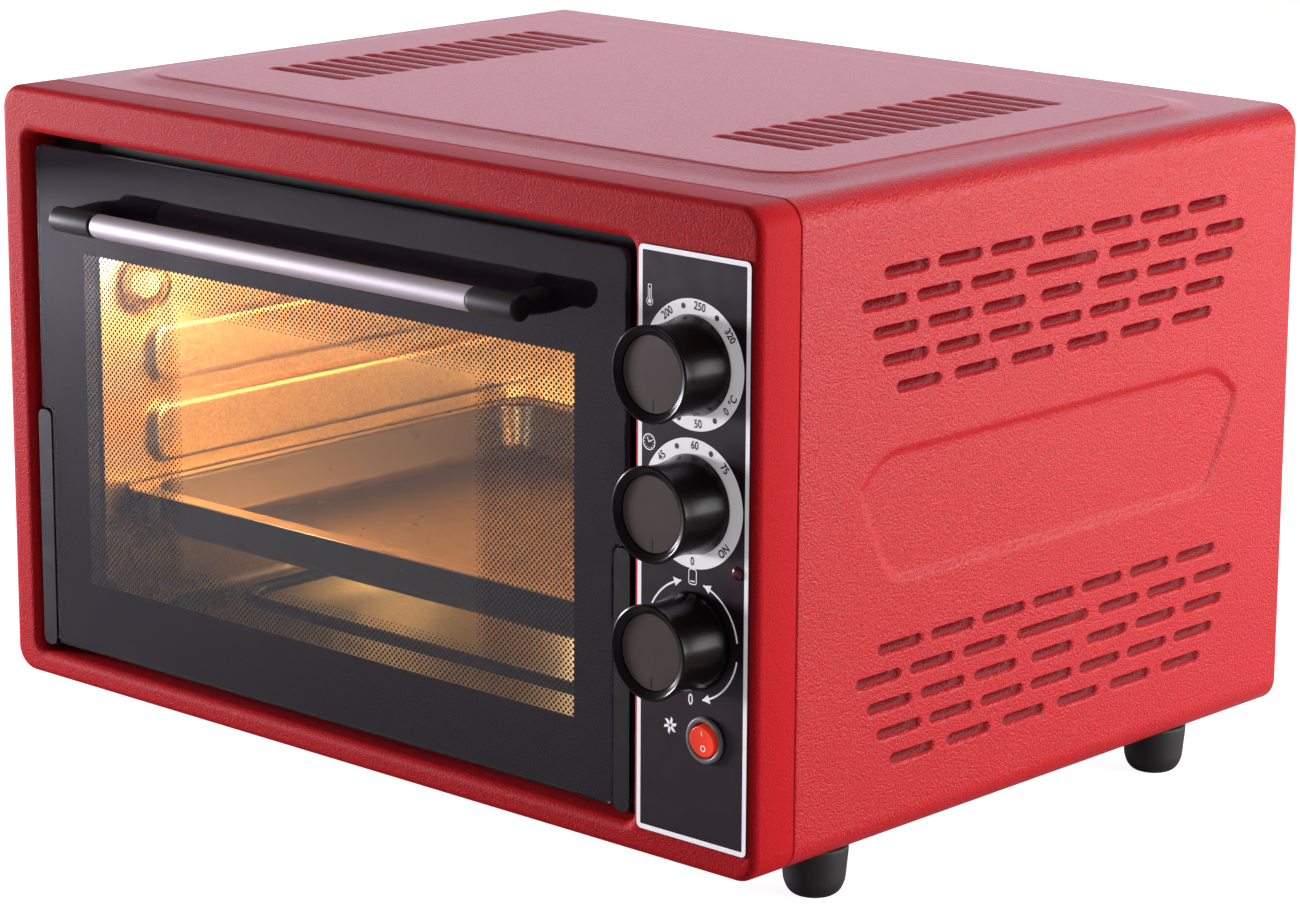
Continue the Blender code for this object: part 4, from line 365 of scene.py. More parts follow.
def wrap(growth):
    """Path of the casing's sheet from the right lip over the top to the left lip, grown outwards."""
    points = grown((-HALF_WIDTH, HALF_WIDTH), (BASE_Z, RIM_Z), growth, BODY_CORNER, 12)
    lip = HALF_WIDTH - LIP_WIDTH
    return [(lip, BASE_Z - growth)] + points[39:] + points[:39] + [(-lip, BASE_Z - growth)]


ROLL = ((0.9, 0), (0.45, 0.15), (0.15, 0.5), (0.02, 1.0), (0, 1.6), (0, 2.4))
CASE_FRONT_Y = SEAM_Y + ROLL[-1][1] * MM
front_roll = [raised(wrap(-growth * MM), SEAM_Y + y * MM) for growth, y in ROLL]
skin(casing, lambda u, v, w: Vector((u, w, v)), front_roll, closed=False)
for side in (-1, 1):
    wall = lambda u, v, w: Vector((side * (HALF_WIDTH + w), u, v))
    loops = [[(CASE_FRONT_Y, side_low), (REAR_Y, side_low), (REAR_Y, side_high), (CASE_FRONT_Y, side_high)]]
    outer, inner = pressing(casing, wall, sunk_at, -SUNK_DEPTH, 5 * MM)
    loops.append(outer)
    fill(casing, wall, [inner], -SUNK_DEPTH)
    loops += [vent_rim(casing, wall, place, *size) for place, size in SIDE_SLOTS]
    fill(casing, wall, loops)
    turn = [(side * HALF_WIDTH, side_high), (side * HALF_WIDTH, RIM_Z - BODY_CORNER)]
    turn += [(side * (HALF_WIDTH - BODY_CORNER * (1 - cos(pi / 24 * i))),
              RIM_Z - BODY_CORNER * (1 - sin(pi / 24 * i))) for i in range(1, 13)]
    turn.append((side * (HALF_WIDTH - BODY_CORNER - COLLAR), RIM_Z))
    heel = [(side * HALF_WIDTH, side_low), (side * HALF_WIDTH, BASE_Z + BODY_CORNER)]
    heel += [(side * (HALF_WIDTH - BODY_CORNER * (1 - cos(pi / 24 * i))),
              BASE_Z + BODY_CORNER * (1 - sin(pi / 24 * i))) for i in range(1, 13)]
    heel.append((side * (HALF_WIDTH - LIP_WIDTH), BASE_Z))
    for bend in (turn, heel):
        skin(casing, lambda u, v, w: Vector((u, w, v)), [raised(bend, CASE_FRONT_Y), raised(bend, REAR_Y)],
             closed=False)
top = lambda u, v, w: Vector((u, v, RIM_Z + w))
edge = HALF_WIDTH - BODY_CORNER - COLLAR
panel_at = lambda growth: grown((-225 * MM, 225 * MM), (-128.25 * MM, 177.75 * MM), growth, 28 * MM, 12)
crown = [(18, 0), (16, 0.05), (13, 0.28), (9, 0.9), (5.5, 1.55), (3, 1.95), (1.5, 2.05), (0.8, 2.12),
         (0.3, 2.35), (-0.3, 2.7), (-0.8, 2.93), (-1.4, 3), (-2.6, 3)]
skin(casing, top, [raised(panel_at(growth * MM), height * MM) for growth, height in crown])
inner = panel_at(-2.6 * MM)
fill(casing, top, [[(-edge, CASE_FRONT_Y), (edge, CASE_FRONT_Y), (edge, REAR_Y), (-edge, REAR_Y)],
                   panel_at(18 * MM)])
lid = lambda u, v, w: Vector((u, v, RIM_Z + 3 * MM + w))
fill(casing, lid, [inner] + [scoop_rim(casing, lid, place, *TOP_SLOT) for place in TOP_SLOTS])
seat(piece("casing_shell", casing, coarse_coat, (0, 0, 1), SHEET, 40), "oven_body", "red_paint",
     "outer_casing")

# Vent tongues: the steel inside each vent, pressed inwards from the rolled edge and left open at the sheared
# one. They are part of the casing's sheet, coloured a darker red than it: painted shade inside the vents.


def copies_tree():
    """Geometry Nodes: copies of one piece on points, turned and stretched by the points' own values."""
    tree = bpy.data.node_groups.new("pressed_copies", "GeometryNodeTree")
    tree.interface.new_socket("Geometry", in_out="INPUT", socket_type="NodeSocketGeometry")
    tree.interface.new_socket("Pressed piece", in_out="INPUT", socket_type="NodeSocketObject")
    tree.interface.new_socket("Finish", in_out="INPUT", socket_type="NodeSocketMaterial")
    tree.interface.new_socket("Geometry", in_out="OUTPUT", socket_type="NodeSocketGeometry")
    entry = add(tree, "NodeGroupInput")
    pressed = add(tree, "GeometryNodeObjectInfo", {"Object": entry.outputs["Pressed piece"]})
    turn = add(tree, "GeometryNodeInputNamedAttribute", {"Name": "turn"}, data_type="FLOAT_VECTOR")
    stretch = add(tree, "GeometryNodeInputNamedAttribute", {"Name": "stretch"}, data_type="FLOAT_VECTOR")
    rotation = add(tree, "FunctionNodeEulerToRotation", {"Euler": turn.outputs["Attribute"]})
    copies = add(tree, "GeometryNodeInstanceOnPoints", {
        "Points": entry.outputs["Geometry"], "Instance": pressed.outputs["Geometry"],
        "Rotation": rotation.outputs["Rotation"], "Scale": stretch.outputs["Attribute"]})
    solid = add(tree, "GeometryNodeRealizeInstances", {"Geometry": copies.outputs["Instances"]})
    painted = add(tree, "GeometryNodeSetMaterial",
                  {"Geometry": solid.outputs["Geometry"], "Material": entry.outputs["Finish"]})
    add(tree, "NodeGroupOutput", {"Geometry": painted.outputs["Geometry"]})
    return tree


pressed_copies = copies_tree()


def copied(name, unit, places, material, angle=35):
    """One finished piece made of copies of unit; places holds (point, turn, stretch) for each copy."""
    mesh = bpy.data.meshes.new(name)
    mesh.from_pydata([point for point, turn, stretch in places], [], [])
    for key, index in (("turn", 1), ("stretch", 2)):
        values = mesh.attributes.new(key, "FLOAT_VECTOR", "POINT")
        values.data.foreach_set("vector", [value for place in places for value in place[index]])
    obj = bpy.data.objects.new(name, mesh)
    scene.collection.objects.link(obj)
    modifier = obj.modifiers.new("copies", "NODES")
    modifier.node_group = pressed_copies
    values = {"Pressed piece": unit, "Finish": material}
    for item in pressed_copies.interface.items_tree:
        if item.in_out == "INPUT" and item.name in values:
            modifier[item.identifier] = values[item.name]
    settle(obj)
    bpy.data.objects.remove(unit, do_unlink=True)
    obj.data.set_sharp_from_angle(angle=radians(angle))
    return obj


def tongue(name, length, width, low, high):
    """Vent tongue along X: low is its depth at the rolled edge at -Y, high its depth under the sheared edge.
    It dips in at the near end, and flattens and climbs back to the sheet at the far end."""
    bm = bmesh.new()
    rows = []
    for i in range(21):
        u = -length / 2 + 0.3 * MM + (length - 0.6 * MM) * (0.5 - 0.5 * cos(pi * i / 20))
        over = max(0, abs(u) - (length - width) / 2)
        half = max(0.4 * MM, (max(0, width * width / 4 - over * over)) ** 0.5)
        start = min(1, (u + length / 2) / (2.4 * MM))
        flat = min(1, max(0, (u - length / 2 + 8.5 * MM) / (1.2 * MM)))
        climb = min(1, max(0, (u - length / 2 + 4.8 * MM) / (4.2 * MM)))
        top_edge = low + (high - low) * start * start * (3 - 2 * start) * (1 - 0.7 * flat)
        rise = 1 - 0.72 * climb * climb
        rows.append([(u, half * (2 * t - 1), -(low + (top_edge - low) * t ** 1.7) * rise)
                     for t in (0, 0.18, 0.34, 0.5, 0.66, 0.82, 0.97)])
    verts = [[bm.verts.new(point) for point in row] for row in rows]
    for near, far in zip(verts, verts[1:]):
        for i in range(len(near) - 1):
            bm.faces.new((near[i], far[i], far[i + 1], near[i + 1])).smooth = True
    return piece(name, bm, vent_shade_coat, (0, 0, 1), 0.7 * MM)


ALONG_Y, ALONG_BACK = (pi / 2, 0, pi / 2), (pi / 2, 0, -pi / 2)
side_unit = tongue("side_tongue_unit", SIDE_SLOT[0], SIDE_SLOT[1], 1.7 * MM, 5.8 * MM)
side_places = []
for side, turn in ((1, ALONG_Y), (-1, ALONG_BACK)):
    for (y, z), (length, width) in SIDE_SLOTS:
        side_places.append(((side * HALF_WIDTH, y, z), turn, (length / SIDE_SLOT[0], 1, 1)))
seat(copied("side_vent_tongues", side_unit, side_places, vent_shade_coat), "oven_body", "red_paint")
top_unit = tongue("top_tongue_unit", TOP_SLOT[0], TOP_SLOT[1], 4.0 * MM, 9.0 * MM)
top_places = [((x, y, RIM_Z + 3 * MM), (0, 0, pi), (1, 1, 1)) for x, y in TOP_SLOTS]
seat(copied("top_vent_tongues", top_unit, top_places, vent_shade_coat), "oven_body", "red_paint")

# Front bezel: a deep-drawn steel pan whose door opening rolls inwards, in a finer grade of the same red
# powder coat, pushed up to the casing with a hairline seam between them.
OPENING_X, OPENING_Z = (-242 * MM, 183.4 * MM), (37.8 * MM, 312.4 * MM)
OPENING_CORNER, OPENING_ROLL = 6 * MM, 4.8 * MM
FACE_ROUND = 4 * MM
DIAL_X = 221.4 * MM
DIAL_HEIGHTS = {"thermostat": 261 * MM, "timer": 197.5 * MM, "selector": 134 * MM}
PILOT = (248.6 * MM, 170.1 * MM)
SWITCH = (230.6 * MM, 89 * MM)
bezel = bmesh.new()
upright = lambda u, v, w: Vector((u, w, v))
outline_at = lambda growth: grown((-HALF_WIDTH, HALF_WIDTH), (BASE_Z, RIM_Z), growth, BODY_CORNER, 12)
rings = [raised(outline_at(-SEAM_ROLL), SEAM_Y - 0.3 * MM),
         raised(outline_at(-0.3 * MM), SEAM_Y - 0.6 * MM), raised(outline_at(0), SEAM_Y - 1.4 * MM)]
for i in range(9):
    a = pi / 16 * i
    rings.append(raised(outline_at(-FACE_ROUND * (1 - cos(a))), FACE_Y + FACE_ROUND * (1 - sin(a))))
rings.append(raised(outline_at(-FACE_ROUND - COLLAR), FACE_Y))
skin(bezel, upright, rings)
opening_at = lambda growth: grown(OPENING_X, OPENING_Z, growth, OPENING_CORNER)
rings = [raised(opening_at(OPENING_ROLL + COLLAR / 2), FACE_Y)]
for i in range(9):
    a = pi / 16 * i
    rings.append(raised(opening_at(OPENING_ROLL * (1 - sin(a))), FACE_Y + OPENING_ROLL * (1 - cos(a))))
rings.append(raised(opening_at(0), -166.55 * MM))
skin(bezel, upright, rings)
holes = [circle((DIAL_X, z), 5 * MM, 24) for z in DIAL_HEIGHTS.values()]
holes += [circle(PILOT, 3.3 * MM, 24), circle(SWITCH, 9.9 * MM)]
fill(bezel, upright, [outline_at(-FACE_ROUND - COLLAR), opening_at(OPENING_ROLL + COLLAR / 2)] + holes,
     FACE_Y)
seat(piece("bezel_pan", bezel, fine_coat, (0, -1, 0), SHEET), "oven_body", "red_paint", "front_bezel")

# Oven chamber: a welded box of galvanised sheet, with rails pressed into both sides, a pressed field in its
# back and a flange that closes the door opening. Zinc spangles and heat tint give it a warm mottled shine.
CHAMBER_X, CHAMBER_Z = (-207.3 * MM, 148.7 * MM), (56.1 * MM, 294.1 * MM)
CHAMBER_Y = (-165.25 * MM, 177.75 * MM)
FLANGE_Y = -166.25 * MM
HAIR = 0.001 * MM
DOOR_MID_X, OPENING_MID_Z = -29.3 * MM, 175.1 * MM


def zinc(name, colour, tint, grain, roughness):
    """Hot-dip galvanised steel: frozen zinc crystals a few millimetres wide, each with its own gloss."""
    material, tree, shader = material_of(name, colour, roughness, {"Metallic": 1.0})
    place = add(tree, "ShaderNodeTexCoord").outputs["Object"]
    crystals = add(tree, "ShaderNodeTexVoronoi", {"Vector": place, "Scale": 1 / grain, "Randomness": 1.0})
    shade = add(tree, "ShaderNodeSeparateColor", {"Color": crystals.outputs["Color"]})
    blend = add(tree, "ShaderNodeMix", {0: shade.outputs["Red"], 6: linear(colour), 7: linear(tint)},
                data_type="RGBA")
    tree.links.new(blend.outputs[2], shader.inputs["Base Color"])
    gloss = add(tree, "ShaderNodeMapRange",
                {"Value": shade.outputs["Green"], "To Min": roughness - 0.04, "To Max": roughness + 0.06})
    tree.links.new(gloss.outputs["Result"], shader.inputs["Roughness"])
    waves = add(tree, "ShaderNodeTexNoise", {"Vector": place, "Scale": 60.0, "Detail": 4.0})
    relief = add(tree, "ShaderNodeBump", {"Height": waves.outputs["Fac"], "Distance": 0.25 * MM,
                                          "Strength": 0.5})
    tree.links.new(relief.outputs["Normal"], shader.inputs["Normal"])
    return material


chamber_zinc = zinc("heat_tinted_galvanised_steel", "#D2C2A2", "#C0AC88", 1.3 * MM, 0.32)
plain_zinc = zinc("galvanised_steel", "#B9BCBD", "#A2A6A8", 4 * MM, 0.4)

chamber = bmesh.new()
soft = 8 * MM
for side, x in ((1, CHAMBER_X[0]), (-1, CHAMBER_X[1])):
    wall = lambda u, v, w: Vector((x + side * w, u, v))
    low, high = CHAMBER_Z[0] + soft, CHAMBER_Z[1] - soft
    loops = [[(CHAMBER_Y[0], low), (CHAMBER_Y[1], low), (CHAMBER_Y[1], high), (CHAMBER_Y[0], high)]]
    for rib_low in (93.1 * MM, 135.1 * MM, 177.1 * MM):
        rib_at = lambda growth: grown((-137.25 * MM, 162.75 * MM), (rib_low, rib_low + 34 * MM),
                                      growth - 1.6 * MM, 12 * MM)
        outer, inner = pressing(chamber, wall, rib_at, 6 * MM, 3.2 * MM, 8)
        loops.append(outer)
        fill(chamber, wall, [inner], 6 * MM)
    fill(chamber, wall, loops)
mouth = rounded((CHAMBER_X[0], CHAMBER_Z[0]), (CHAMBER_X[1], CHAMBER_Z[1]), soft)
for low, way in ((CHAMBER_Z[0], -1), (CHAMBER_Z[1] - soft, 1)):
    sheet = [point for point in mouth if low - HAIR <= point[1] <= low + soft + HAIR]
    climb = lambda point: way * (point[1] - OPENING_MID_Z) * (1 if point[0] < DOOR_MID_X else -1)
    sheet.sort(key=lambda point: (round(point[0], 7), climb(point)))
    skin(chamber, upright, [raised(sheet, CHAMBER_Y[0]), raised(sheet, CHAMBER_Y[1])], closed=False)
back_at = lambda growth: grown(CHAMBER_X, CHAMBER_Z, growth - 27.5 * MM, 45 * MM)
toward_door = lambda u, v, w: Vector((u, CHAMBER_Y[1] - w, v))
outer, inner = pressing(chamber, toward_door, back_at, 3 * MM, 3 * MM)
fill(chamber, toward_door, [mouth, outer])
fill(chamber, toward_door, [inner, circle((DOOR_MID_X, OPENING_MID_Z), 5 * MM, 24)], 3 * MM)
flange = rounded((-250 * MM, 29.8 * MM), (191.4 * MM, 320.4 * MM), 6 * MM)
skin(chamber, upright, [raised(mouth, FLANGE_Y), raised(mouth, CHAMBER_Y[0])])
seat(piece("chamber_box", chamber, chamber_zinc, None, 0.9 * MM), "oven_body", "galvanised", "chamber_shell")

# Chamber flange and heaters: the frame spot-welded around the chamber's mouth is coloured black, as painted
# shade for the dark gap around the door glass. The heaters are two U-shaped tubes of nickel steel, dark from
# the first heating, held in the chamber's right wall.


def surface(name, colour, roughness, grain, depth, inputs=None, vary=0.06):
    """Moulded, cast or drawn surface with a fine even grain that breaks its shine a little."""
    material, tree, shader = material_of(name, colour, roughness, inputs)
    place = add(tree, "ShaderNodeTexCoord").outputs["Object"]
    grains = add(tree, "ShaderNodeTexNoise", {"Vector": place, "Scale": 1 / grain, "Detail": 3.0})
    relief = add(tree, "ShaderNodeBump", {"Height": grains.outputs["Fac"], "Distance": depth,
                                          "Strength": 1.0})
    tree.links.new(relief.outputs["Normal"], shader.inputs["Normal"])
    clouds = add(tree, "ShaderNodeTexNoise", {"Vector": place, "Scale": 90.0, "Detail": 2.0})
    gloss = add(tree, "ShaderNodeMapRange",
                {"Value": clouds.outputs["Fac"], "To Min": roughness - vary, "To Max": roughness + vary})
    tree.links.new(gloss.outputs["Result"], shader.inputs["Roughness"])
    return material


def tube(name, points, radius, material, steps=16, radii=None):
    """Round bar or wire along a run of points, closed at its ends."""
    bm = bmesh.new()
    path = [Vector(point) for point in points]
    side = None
    rows = []
    for i, point in enumerate(path):
        way = (path[min(i + 1, len(path) - 1)] - path[max(i - 1, 0)]).normalized()
        side = way.orthogonal().normalized() if side is None else (side - way * side.dot(way)).normalized()
        other = way.cross(side)
        r = radii[i] if radii else radius
        rows.append([bm.verts.new(point + (side * cos(2 * pi * k / steps)
                                           + other * sin(2 * pi * k / steps)) * r) for k in range(steps)])
    for near, far in zip(rows, rows[1:]):
        for k in range(steps):
            bm.faces.new((near[k], near[(k + 1) % steps], far[(k + 1) % steps], far[k])).smooth = True
    bm.faces.new(rows[0][::-1])
    bm.faces.new(rows[-1])
    return piece(name, bm, material)


# Black for the flange: painted shade in the gap between the bezel's opening and the door glass.
flange_gap_shade_black = surface("black_heat_resistant_paint", "#100D0E", 0.45, 0.8 * MM, 0.02 * MM)
frame_sheet = bmesh.new()
fill(frame_sheet, upright, [flange, mouth], FLANGE_Y)
seat(piece("chamber_flange", frame_sheet, flange_gap_shade_black, (0, -1, 0), 0.9 * MM), "oven_body", "galvanised")
heater_metal = surface("oxidised_nickel_steel", "#3A3632", 0.42, 0.8 * MM, 0.03 * MM, {"Metallic": 0.9})
HEATER_Y = (-117.25 * MM, 112.75 * MM)
for name, z in (("lower_heater", 68.1 * MM), ("upper_heater", 279.1 * MM)):
    left, end, bend = -165.3 * MM, 167.7 * MM, 25 * MM
    run = [(end, HEATER_Y[0], z)]
    run += [(left + bend * (1 - sin(pi / 24 * i)), HEATER_Y[0] + bend * (1 - cos(pi / 24 * i)), z)
            for i in range(13)]
    run += [(left + bend * (1 - cos(pi / 24 * i)), HEATER_Y[1] - bend * (1 - sin(pi / 24 * i)), z)
            for i in range(13)]
    run.append((end, HEATER_Y[1], z))
    seat(tube(name + "_tube", run, 3.25 * MM, heater_metal), "oven_body", "heater_steel", name)

# Baking tray: deep-drawn steel with a flat rolled rim that rests on the middle pair of rails. Its dark enamel
# is glossy enough to mirror the lamp along the rim and the bends.
tray_enamel = surface("dark_enamel", "#1D1918", 0.3, 0.5 * MM, 0.02 * MM, {"Specular IOR Level": 0.3})
TRAY_X, TRAY_Y = (-197.3 * MM, 138.7 * MM), (-147.25 * MM, 128.75 * MM)
tray = bmesh.new()
RIM_X, RIM_Y = (-206.1 * MM, 147.5 * MM), (-159.25 * MM, 140.75 * MM)
rim_at = lambda growth: grown(RIM_X, RIM_Y, growth, 16 * MM)
hollow_at = lambda growth: grown(TRAY_X, TRAY_Y, growth, 19 * MM)
flat_tray = lambda u, v, w: Vector((u, v, w))
RIM_ROLL = ((0, 127.4), (0, 127.9), (-0.6, 128.15), (-1.6, 128.2), (-2.2, 127.8), (-3.2, 127.75))
rings = [raised(rim_at(growth * MM), z * MM) for growth, z in RIM_ROLL]
hollow = [(1.5, 127.75), (0.4, 127.6), (-0.3, 126.9), (-0.7, 125.5), (-5.6, 106.5), (-7.0, 103.6),
          (-9.2, 102.2), (-12, 102)]
skin(tray, flat_tray, rings)
fill(tray, flat_tray, [rim_at(-3.2 * MM), hollow_at(1.5 * MM)], 127.75 * MM)
skin(tray, flat_tray, [raised(hollow_at(growth * MM), z * MM) for growth, z in hollow])
fill(tray, flat_tray, [hollow_at(-12 * MM)], 102 * MM)
seat(piece("tray_pan", tray, tray_enamel, (0, 0, 1), 0.6 * MM), "tray", "enamel", "baking_tray")

# Oven lamp: a small bulb in a ceramic holder behind the left wall, under a blown glass cover that screws in
# from the chamber. The bulb glows warm, and point lights beside it stand for what it throws on the walls.
lamp_glass = material_of("lamp_glass", "#FFF6E6", 0.08, {"Transmission Weight": 1.0, "IOR": 1.47})[0]
glow = material_of("lamp_glow", "#FFE3B0", 0.3,
                   {"Emission Strength": 2.5, "Emission Color": linear("#FFC07A")})[0]


def turned(name, profile, place, facing, material, steps=96, angle=35):
    """Piece turned about the axis at place along facing; profile runs through (radius, height)."""
    bm = bmesh.new()
    rows = []
    for radius, height in profile:
        if radius < 1e-7:
            rows.append([bm.verts.new((0, 0, height))])
        else:
            rows.append([bm.verts.new((radius * cos(2 * pi * k / steps), radius * sin(2 * pi * k / steps),
                                       height)) for k in range(steps)])
    for near, far in zip(rows, rows[1:]):
        for k in range(steps):
            ring = [near[k % len(near)], near[(k + 1) % len(near)], far[(k + 1) % len(far)],
                    far[k % len(far)]]
            corners = list(dict.fromkeys(ring))
            if len(corners) > 2:
                bm.faces.new(corners).smooth = True
    basis = Vector(facing).to_track_quat("Z", "Y").to_matrix().to_4x4()
    bmesh.ops.transform(bm, matrix=Matrix.Translation(place) @ basis, verts=bm.verts)
    return piece(name, bm, material, angle=angle)


def scaled(profile):
    return [(radius * MM, height * MM) for radius, height in profile]


LAMP = (CHAMBER_X[0], -139.25 * MM, 232.1 * MM)
RIGHT, LEFT, FRONT, UP = (1, 0, 0), (-1, 0, 0), (0, -1, 0), (0, 0, 1)
lens = softened([(0, 16), (8.4, 14.9), (12.6, 11.2), (14, 6.4), (14, 1.9), (17, 1.9), (17, 0.3),
                 (12.4, 0.3), (12.4, 6.4), (10.9, 10.2), (7.4, 13.3), (0, 14.4)], 1.5, False)
seat(turned("lamp_cover", scaled(lens), LAMP, RIGHT, lamp_glass, 48), "oven_body", "clear_glass", "lamp_lens")
bulb = softened([(0, 11), (4.1, 10.2), (6.8, 7.1), (6.8, 3.3), (5, -0.3), (5, -14), (0, -14)], 2, False)
seat(turned("lamp_bulb_glass", scaled(bulb), LAMP, RIGHT, glow, 40), "oven_body", "clear_glass", "lamp_bulb")
INNER_LIGHTS = (
    ("oven_light", (CHAMBER_X[0] + 40 * MM, LAMP[1] + 12 * MM, LAMP[2] + 8 * MM), 0.016, 3.4, "#FFD09A"),
    ("oven_glow", (CHAMBER_X[1] - 50 * MM, CHAMBER_Y[1] - 60 * MM, CHAMBER_Z[1] - 30 * MM), 0.03, 7.0,
     "#FFB068"),
    ("mouth_glow", (CHAMBER_X[1] - 75 * MM, CHAMBER_Y[0] + 45 * MM, CHAMBER_Z[1] - 30 * MM), 0.02, 9.0,
     "#FFBE7C"),
    ("floor_glow", (-120 * MM, 120 * MM, 90 * MM), 0.012, 0.4, "#FFD9A8"),
)
for name, place, radius, power, colour in INNER_LIGHTS:
    lamp_data = bpy.data.lights.new(name, "POINT")
    lamp_data.energy, lamp_data.color, lamp_data.shadow_soft_size = power, linear(colour)[:3], radius
    lamp = bpy.data.objects.new(name, lamp_data)
    lamp.location = place
    lamp.visible_camera = lamp.visible_transmission = False
    scene.collection.objects.link(lamp)

# Door glass: a 4 mm tempered pane with ground edges, notched at its lower corners for the hinge arms. It is
# clear, and polished enough to show the chamber sharply and a faint mirror of the room.
DOOR_GLASS_X, DOOR_GLASS_Z = (-236 * MM, 177.4 * MM), (43.8 * MM, 307 * MM)
DOOR_GLASS_Y = (-185.25 * MM, -181.25 * MM)
WINDOW_X, WINDOW_Z = (-202 * MM, 143.4 * MM), (80.3 * MM, 253.8 * MM)
NOTCH_IN, NOTCH_TOP = 8 * MM, 169 * MM


def mirrored(loop):
    return [(2 * DOOR_MID_X - u, v) for u, v in reversed(loop)]


def glass_outline(margin):
    """Outline of the pane drawn in by a margin, with the two notches."""
    low = (DOOR_GLASS_X[0] + margin, DOOR_GLASS_Z[0] + margin)
    high = (DOOR_GLASS_X[1] - margin, DOOR_GLASS_Z[1] - margin)
    radius = 5 * MM - min(margin, 2 * MM)
    right = [(high[0] - radius + radius * cos(pi / 16 * i), high[1] - radius + radius * sin(pi / 16 * i))
             for i in range(9)]
    step = [(DOOR_MID_X, low[1]), (high[0] - NOTCH_IN - 2 * MM, low[1]),
            (high[0] - NOTCH_IN, low[1] + 2 * MM),
            (high[0] - NOTCH_IN, NOTCH_TOP + margin - 2 * MM),
            (high[0] - NOTCH_IN + 2 * MM, NOTCH_TOP + margin), (high[0] - 1 * MM, NOTCH_TOP + margin),
            (high[0], NOTCH_TOP + margin + 1 * MM)]
    half = step + right
    return half + mirrored(half[1:])


def slab(bm, stand, outline_at, low, high, chamfer):
    """Flat plate between two heights with chamfered edges; outline_at(margin) gives its outline."""
    rings = [raised(outline_at(chamfer), low), raised(outline_at(0), low + chamfer),
             raised(outline_at(0), high - chamfer), raised(outline_at(chamfer), high)]
    skin(bm, stand, rings)
    fill(bm, stand, [outline_at(chamfer)], low)
    fill(bm, stand, [outline_at(chamfer)], high)


door_pane = material_of("tempered_glass", "#F4F8F6", 0.0, {"Transmission Weight": 1.0, "IOR": 1.5})[0]
pane = bmesh.new()
slab(pane, upright, glass_outline, *DOOR_GLASS_Y, 0.5 * MM)
seat(piece("door_pane", pane, door_pane, angle=20), "door", "black_glass", "door_glass_outer")

# Black ceramic print on the back of the door glass: a solid border, and in the window rows of small dots
# that shrink away towards a clear middle.
black_frit, tree, shader = material_of("black_ceramic_print", "#2A232B", 0.6, {"Specular IOR Level": 0.0})
place = add(tree, "ShaderNodeTexCoord").outputs["Object"]
sieve = add(tree, "ShaderNodeTexNoise", {"Vector": place, "Scale": 220.0, "Detail": 2.0})
shade = add(tree, "ShaderNodeMix", {0: sieve.outputs["Fac"], 6: linear("#2A202B"), 7: linear("#2F2531")},
            data_type="RGBA")
tree.links.new(shade.outputs[2], shader.inputs["Base Color"])
PRINT_Y = -181.42 * MM
CLEAR_X, CLEAR_Z = (-128 * MM, 78 * MM), (104 * MM, 233 * MM)
border = bmesh.new()
hole = [(WINDOW_X[0], WINDOW_Z[0]), (WINDOW_X[1], WINDOW_Z[0]), (WINDOW_X[1], WINDOW_Z[1]),
        (WINDOW_X[0], WINDOW_Z[1])]
SCREW_REACH, SCREW_Z = 156 * MM, 276.8 * MM
posts = [circle((DOOR_MID_X + side * SCREW_REACH, SCREW_Z), 2.3 * MM, 24) for side in (-1, 1)]
fill(border, upright, [glass_outline(0.9 * MM), hole] + posts, PRINT_Y)
seat(piece("glass_print_border", border, black_frit, (0, -1, 0)), "door", "black_glass")

dot = bmesh.new()
bmesh.ops.create_circle(dot, cap_ends=True, segments=8, radius=0.8 * MM)
bmesh.ops.rotate(dot, matrix=Matrix.Rotation(pi / 2, 3, "X"), verts=dot.verts)
dot_unit = piece("print_dot_unit", dot, black_frit, (0, -1, 0))
dots = []
for row in range(111):
    for column in range(110):
        x = WINDOW_X[0] + (column + 0.5 * (row % 2)) * 3.15 * MM
        z = WINDOW_Z[0] + row * 1.575 * MM
        inside = min(x - CLEAR_X[0], CLEAR_X[1] - x, z - CLEAR_Z[0], CLEAR_Z[1] - z)
        size = min(1, max(0, -inside / (9 * MM)))
        if size > 0.15 and x <= WINDOW_X[1]:
            dots.append(((x, PRINT_Y, z), (0, 0, 0), (0.45 + 0.55 * size,) * 3))
seat(copied("glass_print_dots", dot_unit, dots, black_frit), "door", "black_glass")

# Door handle: a satin anodised aluminium tube between two black moulded ends, each standing on the glass on a
# post that a screw from behind holds. The tube shows one long soft highlight, the ends hardly any.


def brushed(name, colour, roughness, along, pitch):
    """Anodised aluminium, drawn and brushed: fine lines along the tube that stretch its highlight."""
    material, tree, shader = material_of(name, colour, roughness, {"Metallic": 1.0})
    place = add(tree, "ShaderNodeTexCoord").outputs["Object"]
    stretch = [1 / pitch] * 3
    stretch[along] = 12.0
    lines = add(tree, "ShaderNodeMapping", {"Vector": place, "Scale": stretch})
    brush = add(tree, "ShaderNodeTexNoise", {"Vector": lines.outputs["Vector"], "Scale": 1.0, "Detail": 2.0})
    relief = add(tree, "ShaderNodeBump", {"Height": brush.outputs["Fac"], "Distance": 0.015 * MM,
                                          "Strength": 1.0})
    tree.links.new(relief.outputs["Normal"], shader.inputs["Normal"])
    return material


